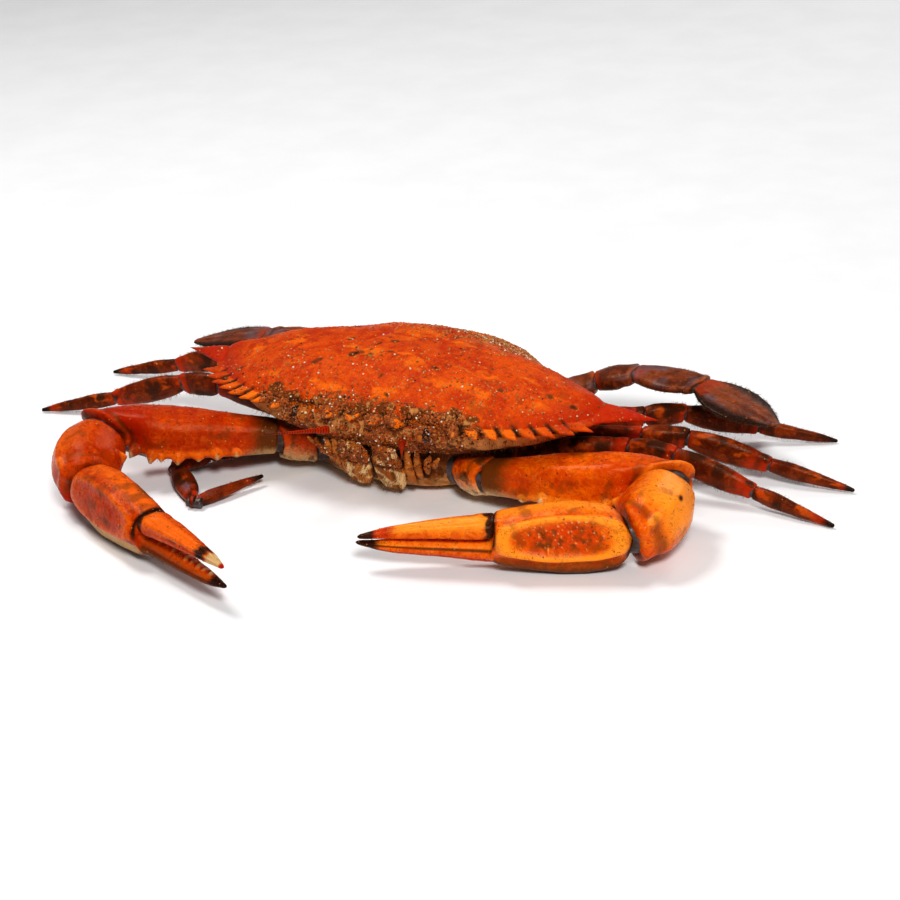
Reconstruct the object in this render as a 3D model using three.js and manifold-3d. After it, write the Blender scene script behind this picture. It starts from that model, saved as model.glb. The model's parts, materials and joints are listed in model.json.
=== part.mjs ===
// A whole steamed blue crab, resting on its belly with both claws folded in front of its face.
// Millimetres, +Z up, the face towards -Y, the crab's left side at +X.
// The origin is the middle of the flat of the belly. Every hard piece of shell is a solid of its own:
// neighbours in a limb meet face to face across the soft joint, JOINT_GAP apart.
import * as THREE from "three";
import Module from "manifold-3d";
import { mergeVertices } from "three/addons/utils/BufferGeometryUtils.js";

// ---- Driving dimensions ----
const SPAN = 165; // tip to tip of the lateral spines
const HALF_SPAN = SPAN / 2;
const JOINT_GAP = 0.3; // between two pieces of shell
const EDGE_Z = 26; // height of the carapace's sharp edge at mid length
const EDGE_PITCH = 3.5; // degrees by which the carapace rises to the front
const CROWN = 14; // height of the carapace's crown over its edge
const LIP = 1.3; // half thickness of the edge at the foot of the teeth
const BASE_INSET = 0.965; // foot of the teeth, as a share of the smooth outline
const THORAX_TOP = 16; // height of the trunk below the carapace
const BELLY_BEVEL = 4; // height of the trunk's lower rounding
const SEAT_Z = 8.5; // height of the limbs' seats on the trunk's wall
const TEETH = 8; // teeth on each side between the eye and the lateral spine

// ---- Materials ----
const finish = (color, roughness) => new THREE.MeshStandardMaterial({ color, roughness, metalness: 0 });
const MATERIALS = {
  carapace: finish(0xc8380a, 0.45),
  claw: finish(0xd9560f, 0.4),
  leg: finish(0x8a3a1c, 0.45),
  paddle: finish(0x6a3524, 0.4),
  belly: finish(0xb98a55, 0.5),
  mouth: finish(0x8d5327, 0.55),
  eye: finish(0x1d1310, 0.2),
};

const crab = new THREE.Group();
const wasm = await Module();
wasm.setup();

// ---- Small helpers ----
const V = (x, y, z) => new THREE.Vector3(x, y, z);
const UP = V(0, 0, 1);
const rad = THREE.MathUtils.degToRad;
const lerp = THREE.MathUtils.lerp;
const mirrored = (half) => [...half, ...half.slice(1, -1).reverse().map((p) => V(-p.x, p.y, p.z))];

// A closed surface through rings of equal count, with a fan at each end, its faces turned out
// whichever way the rings run.
function skin(rings, firstCentre, lastCentre) {
  const n = rings[0].length;
  const points = [firstCentre, ...rings.flat(), lastCentre];
  const at = (k, j) => 1 + k * n + (j % n);
  const last = points.length - 1;
  const triangles = [];
  for (let j = 0; j < n; j++) {
    triangles.push([0, at(0, j + 1), at(0, j)]);
    triangles.push([last, at(rings.length - 1, j), at(rings.length - 1, j + 1)]);
    for (let k = 0; k + 1 < rings.length; k++) {
      triangles.push([at(k, j), at(k, j + 1), at(k + 1, j + 1)]);
      triangles.push([at(k, j), at(k + 1, j + 1), at(k + 1, j)]);
    }
  }
  const cross = new THREE.Vector3();
  const swept = ([a, b, c]) => cross.crossVectors(points[b], points[c]).dot(points[a]);
  const volume = triangles.reduce((sum, triangle) => sum + swept(triangle), 0);
  const geometry = new THREE.BufferGeometry().setFromPoints(points);
  geometry.setIndex(triangles.flatMap((t) => (volume < 0 ? [t[0], t[2], t[1]] : t)));
  return geometry;
}

const centreOf = (ring) => ring.reduce((sum, p) => sum.add(p), V(0, 0, 0)).divideScalar(ring.length);
const capped = (rings) => skin(rings, centreOf(rings[0]), centreOf(rings.at(-1)));

function solidOf(geometry) {
  const bare = geometry.clone();
  bare.deleteAttribute("normal");
  bare.deleteAttribute("uv");
  const merged = mergeVertices(bare, 1e-3);
  return new wasm.Manifold(
    new wasm.Mesh({
      numProp: 3,
      vertProperties: merged.attributes.position.array,
      triVerts: new Uint32Array(merged.index.array),
    }),
  );
}

function geometryOf(solid) {
  const mesh = solid.getMesh();
  const geometry = new THREE.BufferGeometry();
  geometry.setAttribute("position", new THREE.BufferAttribute(new Float32Array(mesh.vertProperties), 3));
  geometry.setIndex(new THREE.BufferAttribute(mesh.triVerts, 1));
  return geometry;
}

function add(name, geometry, material) {
  const mesh = new THREE.Mesh(geometry, MATERIALS[material]);
  mesh.name = name;
  crab.add(mesh);
}

// ---- Carapace ----
const edgeZ = (y) => EDGE_Z - y * Math.tan(rad(EDGE_PITCH));

// A stretch of a quadratic curve.
const bend = (a, b, c) => new THREE.QuadraticBezierCurve3(a, b, c);

// One half of the outline from the middle of the front to the middle of the back. Each entry holds
// the real edge, with its teeth, and the smooth line that the teeth stand on.
function halfOutline() {
  const rows = [];
  const row = (edge, smooth = edge) => rows.push({ edge, smooth });
  const brow = (x) => V(x, -33.8 + 0.0006 * x * x, 0);
  const frontTooth = (x, reach) => row(V(x, brow(x).y - reach, 0), brow(x));
  frontTooth(0, 0); // notch between the two front teeth
  frontTooth(3.6, 3.4);
  frontTooth(7.2, 0.2);
  frontTooth(11.8, 3.8); // inner tooth of the orbit
  frontTooth(14.6, -0.2);
  frontTooth(19, -1.8); // floor of the orbit
  frontTooth(24.5, -1.5);
  frontTooth(28.5, 0.8);
  frontTooth(31, 4.6); // outer tooth of the orbit

  const side = bend(V(32.5, -33.6, 0), V(55, -29, 0), V(67, -9.5, 0));
  for (let i = 0; i < TEETH; i++) {
    const foot = side.getPoint(i / TEETH);
    row(foot);
    if (i === TEETH - 1) break;
    const t = (i + 0.62) / TEETH;
    const along = side.getTangent(t);
    const out = V(-along.y, along.x, 0).multiplyScalar(-1).applyAxisAngle(V(0, 0, 1), rad(12));
    const reach = lerp(3.2, 5.2, i / TEETH);
    row(side.getPoint(t).addScaledVector(out, reach), side.getPoint(t));
  }
  row(V(67.5, -9.3, 0), V(66.5, -8.8, 0));
  row(V(75, -5.4, 0), V(67.3, -6, 0));
  row(V(HALF_SPAN, -1.5, 0), V(67.5, -3.4, 0)); // tip of the lateral spine
  row(V(75, 0, 0), V(67, -0.8, 0));
  row(V(66, 3.4, 0), V(65, 2.6, 0));

  const flank = bend(V(61, 5.2, 0), V(48, 10, 0), V(28, 31, 0));
  for (let i = 0; i <= 5; i++) row(flank.getPoint(i / 5));
  const rump = bend(V(22, 33.2, 0), V(10, 34.2, 0), V(0, 34, 0));
  for (let i = 0; i <= 3; i++) row(rump.getPoint(i / 3));
  return rows;
}

// The oval rim in which the shell's underside ends, around the trunk.
const RIM = { x: 34, y: 29, power: 2.6 };

function carapace() {
  const half = halfOutline();
  const smooth = mirrored(half.map((r) => r.smooth));
  const edge = mirrored(half.map((r) => r.edge)).map((p) => V(p.x, p.y, edgeZ(p.y)));
  const topRing = (s) =>
    smooth.map((p) => {
      const x = p.x * BASE_INSET * s;
      const y = p.y * BASE_INSET * s;
      return V(x, y, edgeZ(y) + LIP + CROWN * Math.pow(1 - Math.pow(s, 2.6), 0.8));
    });
  // Below the edge the shell folds in to a rim around the trunk.
  const rim = smooth.map((p) => {
    const turn = Math.atan2(p.y, p.x);
    const [c, s] = [Math.cos(turn), Math.sin(turn)];
    const sum = Math.abs(c / RIM.x) ** RIM.power + Math.abs(s / RIM.y) ** RIM.power;
    const reach = Math.pow(sum, -1 / RIM.power);
    return V(reach * c, reach * s, THORAX_TOP + JOINT_GAP);
  });
  const underRing = (s) =>
    smooth.map((p, j) => {
      const foot = V(p.x * BASE_INSET, p.y * BASE_INSET, edgeZ(p.y) - LIP);
      const point = foot.lerp(rim[j], s);
      const bulge = Math.sin(Math.PI * s);
      return V(point.x * (1 + 0.06 * bulge), point.y * (1 + 0.06 * bulge), point.z - 1.2 * bulge);
    });
  const rings = [underRing(1), underRing(0.66), underRing(0.33), underRing(0), edge];
  for (const s of [1, 0.9, 0.74, 0.55, 0.32]) rings.push(topRing(s));
  const middle = V(0, 0, edgeZ(0) + LIP + CROWN);
  return skin(rings, V(0, 0, THORAX_TOP + JOINT_GAP), middle);
}

// ---- Trunk, with the tail folded flat into a groove of the belly ----
const TRUNK = { halfWidth: 30, front: 26.5, back: 26, power: 2.8 };

function trunkRing(z, share, count = 32) {
  return Array.from({ length: count }, (_, j) => {
    const turn = (2 * Math.PI * j) / count;
    const c = Math.cos(turn);
    const s = Math.sin(turn);
    const reach = s < 0 ? TRUNK.front : TRUNK.back;
    const size = (v, half) => half * Math.sign(v) * Math.pow(Math.abs(v), 2 / TRUNK.power);
    return V(size(c, TRUNK.halfWidth) * share, size(s, reach) * share, z);
  });
}

const trunk = () =>
  capped([
    trunkRing(0, 0.7),
    trunkRing(0.35 * BELLY_BEVEL, 0.86),
    trunkRing(BELLY_BEVEL, 0.97),
    trunkRing(0.5 * THORAX_TOP, 1),
    trunkRing(THORAX_TOP, 0.98),
  ]);

// The male tail: a band that comes out under the back of the carapace, wraps round the trunk and
// narrows towards the mouth. Each row is a place on its middle line, its width and its slope.
const TAIL_DEPTH = 2.2;
const TAIL_ROWS = [
  { y: 25.2, z: THORAX_TOP - 0.4, wide: 25, slope: 90 },
  { y: 25.2, z: 9.5, wide: 28, slope: 90 },
  { y: 24.2, z: 4.6, wide: 29, slope: 65 },
  { y: 20.2, z: 1.9, wide: 27, slope: 25 },
  { y: 15.5, z: 1.1, wide: 22, slope: 0 },
  { y: 9.5, z: 1.1, wide: 11.5, slope: 0 },
  { y: 0, z: 1.1, wide: 9.6, slope: 0 },
  { y: -9, z: 1.1, wide: 7.6, slope: 0 },
  { y: -13.5, z: 1.1, wide: 3.4, slope: 0 },
];

// As the band itself, or as the cutter for its groove: wider by the gap and open to the outside.
function tail(gap = 0) {
  const rings = TAIL_ROWS.map(({ y, z, wide, slope }, i) => {
    const outward = V(0, Math.sin(rad(slope)), -Math.cos(rad(slope)));
    const top = i === 0 ? 5 * gap : 0;
    const end = i === TAIL_ROWS.length - 1 ? -gap : 0;
    const inner = -TAIL_DEPTH / 2 - gap;
    const outer = TAIL_DEPTH / 2 + 12 * gap;
    const half = wide / 2 + gap;
    const chamfer = gap ? 0 : 0.8;
    return [
      [-half, inner],
      [half, inner],
      [half, outer - chamfer],
      [half - chamfer, outer],
      [chamfer - half, outer],
      [-half, outer - chamfer],
    ].map(([x, reach]) => V(x, y + end, z + top).addScaledVector(outward, reach));
  });
  return capped(rings);
}

// ---- Limbs ----
// A piece of a limb runs from one joint to the next and ends flat on each joint's plane. Its rows
// give, at even steps, its thickness across, its height, and how far its middle is raised (lift).
// roll turns the piece's upright about its own length, in degrees.
function piece({ from, to, fromNormal, toNormal, rows, sides, side = 1, roll = 0, stations, square = 2.4 }) {
  const start = from.clone().addScaledVector(fromNormal, JOINT_GAP / 2);
  const end = to.clone().addScaledVector(toNormal, -JOINT_GAP / 2);
  const way = to.clone().sub(from).normalize();
  const near = (t) => Math.max(0, 1 - t / 0.35);
  const rings = rows.map(([wide, tall, lift = 0, out = 0], i) => {
    const t = stations ? stations[i] : i / (rows.length - 1);
    const normal = way.clone().lerp(fromNormal, near(t)).lerp(toNormal, near(1 - t)).normalize();
    const high = UP.clone().addScaledVector(normal, -normal.z).normalize();
    high.applyAxisAngle(normal, rad(roll));
    const across = new THREE.Vector3().crossVectors(high, normal);
    const middle = start.clone().lerp(end, t).addScaledVector(high, lift).addScaledVector(across, out * side);
    return Array.from({ length: sides }, (_, j) => {
      const turn = (2 * Math.PI * (j + 0.5)) / sides;
      const round = (v) => Math.sign(v) * Math.pow(Math.abs(v), 2 / square);
      return middle
        .clone()
        .addScaledVector(across, (wide / 2) * round(Math.cos(turn)))
        .addScaledVector(high, (tall / 2) * round(Math.sin(turn)));
    });
  });
  return capped(rings);
}

// Heading 0 points straight out sideways and 90 straight ahead; rise is the angle above level.
function direction(side, heading, rise) {
  const level = Math.cos(rad(rise));
  return V(side * Math.cos(rad(heading)) * level, -Math.sin(rad(heading)) * level, Math.sin(rad(rise)));
}

// The joints of a limb that starts on the trunk's wall, abreast of the given y. The plane of each
// joint halves the bend there, and the first one lies along the wall.
function chain(side, y, lengths, headings, rises, lean = 0.5) {
  const { halfWidth, front, back, power } = TRUNK;
  const reach = y < 0 ? front : back;
  const x = halfWidth * Math.pow(1 - Math.pow(Math.abs(y) / reach, power), 1 / power);
  const slope = (v, half) => (Math.sign(v) * Math.pow(Math.abs(v) / half, power - 1)) / half;
  const wall = V(side * slope(x, halfWidth), slope(y, reach), 0).normalize();
  const ways = lengths.map((_, i) => direction(side, headings[i], rises[i]));
  const points = [V(side * x, y, SEAT_Z).addScaledVector(wall, JOINT_GAP)];
  ways.forEach((way, i) => points.push(points[i].clone().addScaledVector(way, lengths[i])));
  const normals = points.map((_, i) => {
    const next = ways[Math.min(i, ways.length - 1)];
    return i === 0 ? wall : ways[i - 1].clone().lerp(next, i > 1 ? lean : 0.5).normalize();
  });
  return { points, ways, normals };
}

// Thickness across and height along each piece of a leg.
const SEGMENTS = ["ischium", "merus", "carpus", "propodus", "dactylus"];
const WALKING = {
  lengths: [9, 34, 14, 26, 27],
  ischium: [[7.2, 8], [7, 8], [5.8, 7.2]],
  merus: [[5, 6.8], [6.2, 9.2], [6.6, 9.8], [6, 8.8], [4.8, 6.4]],
  carpus: [[4.6, 5.8], [5.6, 7.6], [5.6, 7.4], [4.2, 5.8]],
  propodus: [[4, 5.6], [4.8, 7.6], [4.8, 7.2], [3.4, 4.8]],
  dactylus: [[3.2, 4.4], [3.6, 5], [3, 4], [2.2, 2.8], [0.8, 1]],
};
const SWIMMING = {
  lengths: [9, 20, 14, 23, 31],
  ischium: [[7, 7.4], [7.4, 8], [6.6, 7]],
  merus: [[9, 6.4], [12.4, 7.2], [13.4, 7], [9.6, 5.8]],
  carpus: [[8.8, 5.4], [12.2, 6.4], [9.2, 5]],
  propodus: [[8.8, 4.6], [14, 4.8], [15.4, 4.2], [12, 3.4]],
  dactylus: [[9.4, 3], [16.4, 2.8], [19, 2.4], [17.4, 2], [11.6, 1.5], [3.2, 0.8]],
};

function leg(name, shape, { side, y, headings, rises, rolls = [0, 0, 0, 0, 0], grow = 1 }) {
  const lengths = shape.lengths.map((length) => length * grow);
  const { points, normals } = chain(side, y, lengths, headings, rises);
  SEGMENTS.forEach((segment, i) => {
    const geometry = piece({
      from: points[i],
      to: points[i + 1],
      fromNormal: normals[i],
      toNormal: normals[i + 1],
      rows: shape[segment].map((row) => row.map((size) => size * grow)),
      sides: 8,
      roll: rolls[i] * side,
    });
    const blade = shape === SWIMMING && segment === "dactylus";
    add(`${name}_${segment}`, geometry, blade ? "paddle" : "leg");
  });
}

// ---- Claws ----
const CLAW = {
  lengths: [12, 56, 26, 40],
  ischium: [[11, 11.4], [12, 12.4], [11, 11.4]],
  merus: [[10.6, 11], [13, 12.6], [15.6, 14.6], [17.6, 16], [18, 16.6], [16, 14.6]],
  carpus: [[15, 13.8], [19.4, 18, 0, 0.8], [21.6, 19.8, 0, 1.6], [20.6, 19.4, 0, 1.4], [15, 16]],
  // The hand tapers into the fixed lower finger past a step, where the upper finger is hinged.
  fingers: 39,
  hand: [
    [11.4, 13.4, 0.3], [13.8, 17.4, 0.1], [15.4, 20.4], [15, 20], [12.8, 18],
    [9.8, 8.6, -4.4], [8, 6.8, -3.5], [6.4, 5.2, -2.7], [4.3, 3.7, -1.8], [1.3, 1.3, -0.6],
  ],
  handStations: [0, 0.07, 0.2, 0.36, 0.49, 0.51, 0.65, 0.79, 0.91, 1],
  finger: [[9.6, 7.8], [8.8, 7, -0.4], [7.4, 6, -0.8], [5.8, 4.8, -1.5], [4, 3.4, -2.4], [1.2, 1.2, -3.8]],
  hingeLift: 4.8,
  lean: 0.68, // how far the two elbows' planes lean towards the outer piece
  sides: 12,
};

function claw(name, { side, y, headings, rises, open }) {
  const { points, ways, normals } = chain(side, y, CLAW.lengths, headings, rises, CLAW.lean);
  SEGMENTS.slice(0, 3).forEach((segment, i) => {
    const ends = { from: points[i], to: points[i + 1], fromNormal: normals[i], toNormal: normals[i + 1] };
    add(`${name}_${segment}`, piece({ ...ends, rows: CLAW[segment], side, sides: CLAW.sides }), "claw");
  });
  const way = ways[3];
  const wrist = points[3];
  const tip = wrist.clone().addScaledVector(way, CLAW.lengths[3] + CLAW.fingers);
  const hand = { from: wrist, to: tip, fromNormal: normals[3], toNormal: way };
  const shape = { rows: CLAW.hand, stations: CLAW.handStations, sides: CLAW.sides, square: 2.6 };
  add(`${name}_propodus`, piece({ ...hand, ...shape }), "claw");

  const high = UP.clone().addScaledVector(way, -way.z).normalize();
  const hinge = wrist.clone().addScaledVector(way, CLAW.lengths[3] + JOINT_GAP);
  hinge.addScaledVector(high, CLAW.hingeLift);
  const raised = way.clone().applyAxisAngle(new THREE.Vector3().crossVectors(way, high), rad(open));
  const end = hinge.clone().addScaledVector(raised, CLAW.fingers - 1);
  const upper = { from: hinge, to: end, fromNormal: way, toNormal: raised, rows: CLAW.finger };
  add(`${name}_dactylus`, piece({ ...upper, sides: CLAW.sides }), "claw");
}

// ---- Face ----
function ball(centre, radii, grow = 0) {
  const geometry = new THREE.SphereGeometry(1, 12, 8);
  geometry.scale(radii.x + grow, radii.y + grow, radii.z + grow);
  return geometry.translate(centre.x, centre.y, centre.z);
}

const EYE = { centre: V(21.5, -35.2, 26.6), radii: V(3.6, 2.7, 2.7) };
const MOUTH = {
  foot: V(5.7, -27.5, 2.6),
  top: V(5.7, -33.6, 19),
  rows: [[6, 1.6], [9.6, 2.8], [10.4, 3], [9.4, 2.8], [7, 1.8]],
};
const FEELER = {
  root: V(12.6, -34, 22.2),
  length: 24,
  rows: [[2.2, 2.2], [1.5, 1.5], [1, 1], [0.7, 0.7], [0.5, 0.5]],
};

// A straight tapering piece between two points.
function strut(from, to, rows, sides) {
  const way = to.clone().sub(from).normalize();
  return piece({ from, to, fromNormal: way, toNormal: way, rows, sides });
}

// ---- The crab put together ----
const BOTH = [["right", -1], ["left", 1]];

let shell = solidOf(carapace());
for (const [hand, side] of BOTH) {
  const onSide = (p) => V(side * p.x, p.y, p.z);
  const eye = onSide(EYE.centre);
  shell = shell.subtract(solidOf(ball(eye, EYE.radii, JOINT_GAP)));
  add(`eye_${hand}`, ball(eye, EYE.radii), "eye");
  add(`mouthpart_${hand}`, strut(onSide(MOUTH.foot), onSide(MOUTH.top), MOUTH.rows, 8), "mouth");
  const feeler = onSide(FEELER.root);
  const end = feeler.clone().addScaledVector(direction(side, 62, 14), FEELER.length);
  add(`antenna_${hand}`, strut(feeler, end, FEELER.rows, 6), "leg");
}
add("carapace", geometryOf(shell), "carapace");
add("thorax", geometryOf(solidOf(trunk()).subtract(solidOf(tail(JOINT_GAP)))), "belly");
add("abdomen", tail(0), "belly");

claw("claw_left", { side: 1, y: -18.5, headings: [30, -6, 93, 159], rises: [8, 5, -9.6, -1], open: 0.8 });
claw("claw_right", { side: -1, y: -18.5, headings: [25, 28, 112, 154], rises: [13, 6, -13.6, -1.5], open: 9 });

// The legs count from the claws, which are the first pair. The second right leg is folded under
// its claw, on its flat side.
const left = (y, headings, rises, grow) => ({ side: 1, y, headings, rises, grow });
const right = (y, headings, rises, grow, rolls) => ({ side: -1, y, headings, rises, grow, rolls });
leg("leg2_left", WALKING, left(-8.5, [-6, -13, -8, 0, 8], [4, 9, -4, -17, -10.5]));
leg("leg3_left", WALKING, left(1, [0, -15, -21, -12, -4], [4, 8, -2, -16, -11]));
leg("leg4_left", WALKING, left(10.5, [-12, -27, -36, -28, -18], [4, 6, -3, -15, -10.5], 0.94));
leg("swimmer_left", SWIMMING, left(19.5, [-50, -30, -8, 8, 22], [10, 22, 16, 2, -8]));
const folded = right(-8.5, [0, 42, 66, 136, 240], [-18, -5, 1, -4, 3], 0.9, [20, 70, 80, 80, 60]);
leg("leg2_right", WALKING, folded);
leg("leg3_right", WALKING, right(1, [0, 2, 4, 12, 20], [4, 7, -3, -16, -9.5]));
leg("leg4_right", WALKING, right(10.5, [-10, -16, -14, 0, 10], [4, 7, -3, -15.5, -10.5], 0.96));
leg("swimmer_right", SWIMMING, right(19.5, [-48, -36, -20, -6, 6], [6, 12, 6, -6, -10], 0.97));

export default crab;
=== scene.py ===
# A whole steamed blue crab, seasoned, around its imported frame. Shapes are worked out in millimetres,
# each hard piece as a fine skin through the rings of its CAD solid, and become metres in Blender.
import itertools
import json
import math

import bpy
import numpy as np
from mathutils import Matrix, Vector

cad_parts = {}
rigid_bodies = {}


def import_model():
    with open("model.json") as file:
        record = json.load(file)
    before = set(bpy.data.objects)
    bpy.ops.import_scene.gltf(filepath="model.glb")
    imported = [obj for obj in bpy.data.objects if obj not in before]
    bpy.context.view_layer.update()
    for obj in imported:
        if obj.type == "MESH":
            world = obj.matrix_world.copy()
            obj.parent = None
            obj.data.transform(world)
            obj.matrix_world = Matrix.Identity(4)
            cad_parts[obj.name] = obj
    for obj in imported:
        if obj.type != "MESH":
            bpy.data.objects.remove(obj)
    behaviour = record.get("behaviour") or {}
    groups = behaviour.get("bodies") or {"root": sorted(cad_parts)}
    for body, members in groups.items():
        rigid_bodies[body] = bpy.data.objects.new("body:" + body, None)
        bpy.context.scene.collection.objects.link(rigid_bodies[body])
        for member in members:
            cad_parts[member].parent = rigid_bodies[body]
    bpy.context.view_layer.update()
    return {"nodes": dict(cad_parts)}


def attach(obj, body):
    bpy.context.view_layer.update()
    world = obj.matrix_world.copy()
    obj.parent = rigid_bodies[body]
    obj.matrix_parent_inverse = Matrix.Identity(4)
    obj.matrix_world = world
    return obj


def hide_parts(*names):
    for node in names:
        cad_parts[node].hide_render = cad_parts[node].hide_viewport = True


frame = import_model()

MM = 0.001
FINE = 1.0  # step between mesh points, as a multiple of the full one
UP = np.array([0.0, 0.0, 1.0])
BOTH = (("left", 1), ("right", -1))
# DARK, BRIGHT and GREY also carry painted shade, painted highlights and painted sheen, where the comments
# below say so.
STAIN, PALE, DARK, BRIGHT, RED, GREY = range(6)  # what can be painted over a shell's own colour
random = np.random.default_rng(7)


# ---- Numbers on arrays ----
def unit(v):
    return v / np.maximum(np.linalg.norm(v, axis=-1, keepdims=True), 1e-9)


def smooth(low, high, v):
    """0 below low, 1 above high, with a soft step between; low may be over high."""
    t = np.clip((v - low) / (high - low), 0, 1)
    return t * t * (3 - 2 * t)


def bell(v, width):
    return np.exp(-((v / width) ** 2))


def lattice(cells, seed):
    """A repeatable number from 0 to 1 for each cell with whole-number coordinates."""
    c = cells.astype(np.int64)
    h = c[..., 0] * 73856093 ^ c[..., 1] * 19349663 ^ c[..., 2] * 83492791 ^ (seed * 40503 + 977)
    h = (h ^ (h >> 13)) * 1274126177 & 0xFFFFFFFF
    return ((h ^ (h >> 15)) & 0xFFFF) / 65535.0


# A turn off all three axes, so that the cells of the noise never line up with the body.
SKEW = np.array(Matrix.Rotation(0.9, 3, "X") @ Matrix.Rotation(0.7, 3, "Y") @ Matrix.Rotation(0.4, 3, "Z"))


def noise(points, size, seed=0):
    """Smooth noise from -1 to 1, with features of that size."""
    q = points @ SKEW / size + 0.37 * seed
    cell = np.floor(q)
    f = q - cell
    f = f * f * (3 - 2 * f)
    total = 0
    for corner in itertools.product((0, 1), repeat=3):
        weight = np.prod(np.where(corner, f, 1 - f), axis=-1)
        total = total + weight * lattice(cell + corner, seed)
    return 2 * total - 1


def rough(points, size, seed=0, octaves=3):
    total = 0
    for k in range(octaves):
        total = total + noise(points, size / 2**k, seed + k) / 2**k
        points = points @ SKEW
    return total


def patches(points, size, seed, low=0.0, high=0.5, octaves=3):
    """Ragged patches: 0 where the noise is under low, 1 where it is over high."""
    return smooth(low, high, rough(points, size, seed, octaves))


def pimples(points, size, seed=0, share=1.0):
    """Round grains, from 0 to 1 at their tops, one in a share of the cells of that size."""
    q = points @ SKEW / size
    cell = np.floor(q)
    best = np.zeros(q.shape[:-1])
    for corner in itertools.product((-1, 0, 1), repeat=3):
        c = cell + corner
        shift = np.stack([lattice(c, seed + k) for k in range(3)], -1) - 0.5
        radius = 0.3 + 0.25 * lattice(c, seed + 3)
        gap = np.linalg.norm(q - c - 0.5 - 0.7 * shift, axis=-1)
        grain = np.clip(1 - (gap / radius) ** 2, 0, 1) * (lattice(c, seed + 4) < share)
        best = np.maximum(best, grain)
    return best


def monotone(x, y, at):
    """Curves through the rows y at x, which don't overshoot them, read at the places in at."""
    shape = (-1,) + (1,) * (y.ndim - 1)
    slope = np.diff(y, axis=0) / np.diff(x).reshape(shape)
    tangent = np.concatenate([slope[:1], np.zeros_like(slope[1:]), slope[-1:]])
    product = slope[:-1] * slope[1:]
    mean = 2 * product / np.where(product > 0, slope[:-1] + slope[1:], 1)
    tangent[1:-1] = np.where(product > 0, mean, 0)
    k = np.clip(np.searchsorted(x, at, side="right") - 1, 0, len(x) - 2)
    h = (x[k + 1] - x[k]).reshape(shape)
    t = ((at - x[k]) / (x[k + 1] - x[k])).reshape(shape)
    return (
        y[k] * (1 + 2 * t) * (1 - t) ** 2
        + tangent[k] * h * t * (1 - t) ** 2
        + y[k + 1] * t * t * (3 - 2 * t)
        + tangent[k + 1] * h * t * t * (t - 1)
    )


# ---- Meshes ----
def tube_faces(rows, around):
    """Quads of a tube of points, and fans to the two points that follow them."""
    k, j = np.meshgrid(np.arange(rows - 1), np.arange(around), indexing="ij")
    nxt = (j + 1) % around
    here, above = k * around, (k + 1) * around
    quads = np.stack([here + j, here + nxt, above + nxt, above + j], -1).reshape(-1, 4)
    j = np.arange(around)
    nxt = (j + 1) % around
    low, last = rows * around, (rows - 1) * around
    fans = [
        np.stack([np.full(around, low), nxt, j], -1),
        np.stack([np.full(around, low + 1), last + j, last + nxt], -1),
    ]
    return quads.tolist() + np.concatenate(fans).tolist()


def turned_out(points, faces):
    """The faces, all reversed if the closed surface they make has its inside out."""
    tris = np.array([[f[0], f[i], f[i + 1]] for f in faces for i in range(1, len(f) - 1)])
    a, b, c = points[tris[:, 0]], points[tris[:, 1]], points[tris[:, 2]]
    if np.einsum("ij,ij->", a, np.cross(b, c)) < 0:
        return [f[::-1] for f in faces]
    return faces


def closed(points, ends):
    """The points of a tube with a point for each end after them, none of them under the floor, and
    the faces of the closed surface that they make."""
    flat = np.concatenate([points.reshape(-1, 3), ends])
    flat[:, 2] = np.maximum(flat[:, 2], 0)
    return flat, turned_out(flat, tube_faces(*points.shape[:2]))


def add_piece(name, points, faces, material, nodes=(), paint=None):
    """One piece of the crab, from points in millimetres, with the six painted shares of each."""
    mesh = bpy.data.meshes.new(name)
    mesh.from_pydata((points * MM).tolist(), [], faces)
    mesh.polygons.foreach_set("use_smooth", [True] * len(mesh.polygons))
    if paint is not None:
        for layer, three in (("stain", paint[:, :3]), ("hue", paint[:, 3:])):
            colours = np.ones((len(points), 4))
            colours[:, :3] = np.clip(three, 0, 1)
            data = mesh.attributes.new(layer, "FLOAT_COLOR", "POINT").data
            data.foreach_set("color", colours.ravel())
    mesh.materials.append(material)
    piece = bpy.data.objects.new(name, mesh)
    bpy.context.scene.collection.objects.link(piece)
    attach(piece, "root")
    if nodes:
        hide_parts(*nodes)
    return piece


def add_tube(name, points, ends, material, nodes, paint):
    flat, faces = closed(points, ends)
    tints = np.concatenate([paint.reshape(-1, 6), paint[[0, -1], 0]])
    return add_piece(name, flat, faces, material, nodes, tints)


def joined(name, parts, material):
    points, faces, start = [], [], 0
    for p, f in parts:
        points.append(p)
        faces.extend([[v + start for v in face] for face in f])
        start += len(p)
    return add_piece(name, np.concatenate(points), faces, material)


# ---- Rings of the CAD solids ----
def welded(node):
    mesh = frame["nodes"][node].data
    points = np.empty(3 * len(mesh.vertices))
    mesh.vertices.foreach_get("co", points)
    points = points.reshape(-1, 3) / MM
    mesh.calc_loop_triangles()
    corners = np.empty(3 * len(mesh.loop_triangles), int)
    mesh.loop_triangles.foreach_get("vertices", corners)
    _, first, where = np.unique(np.round(points, 3), axis=0, return_index=True, return_inverse=True)
    return points[first], where.ravel()[corners].reshape(-1, 3)


def rings_of(node, sides):
    """The solid's rings from one end to the other, with their points in step. Each end is a fan."""
    points, triangles = welded(node)
    near = [set() for _ in points]
    for triangle in triangles:
        for a, b in itertools.permutations(triangle, 2):
            near[a].add(b)
    hubs = [
        v
        for v, others in enumerate(near)
        if len(others) == sides and np.linalg.norm(points[list(others)].mean(0) - points[v]) < 0.01
    ]
    assert len(hubs) == 2, f"{node} has {len(hubs)} ends"
    seen, layer, rings = {hubs[0]}, {hubs[0]}, []
    while True:
        layer = set().union(*(near[v] for v in layer)) - seen
        if layer <= {hubs[1]}:
            return in_step(rings)
        seen |= layer
        order = [min(layer)]
        while len(order) < len(layer):
            order.append(next(iter(near[order[-1]] & layer - set(order))))
        rings.append(points[order])


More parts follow.
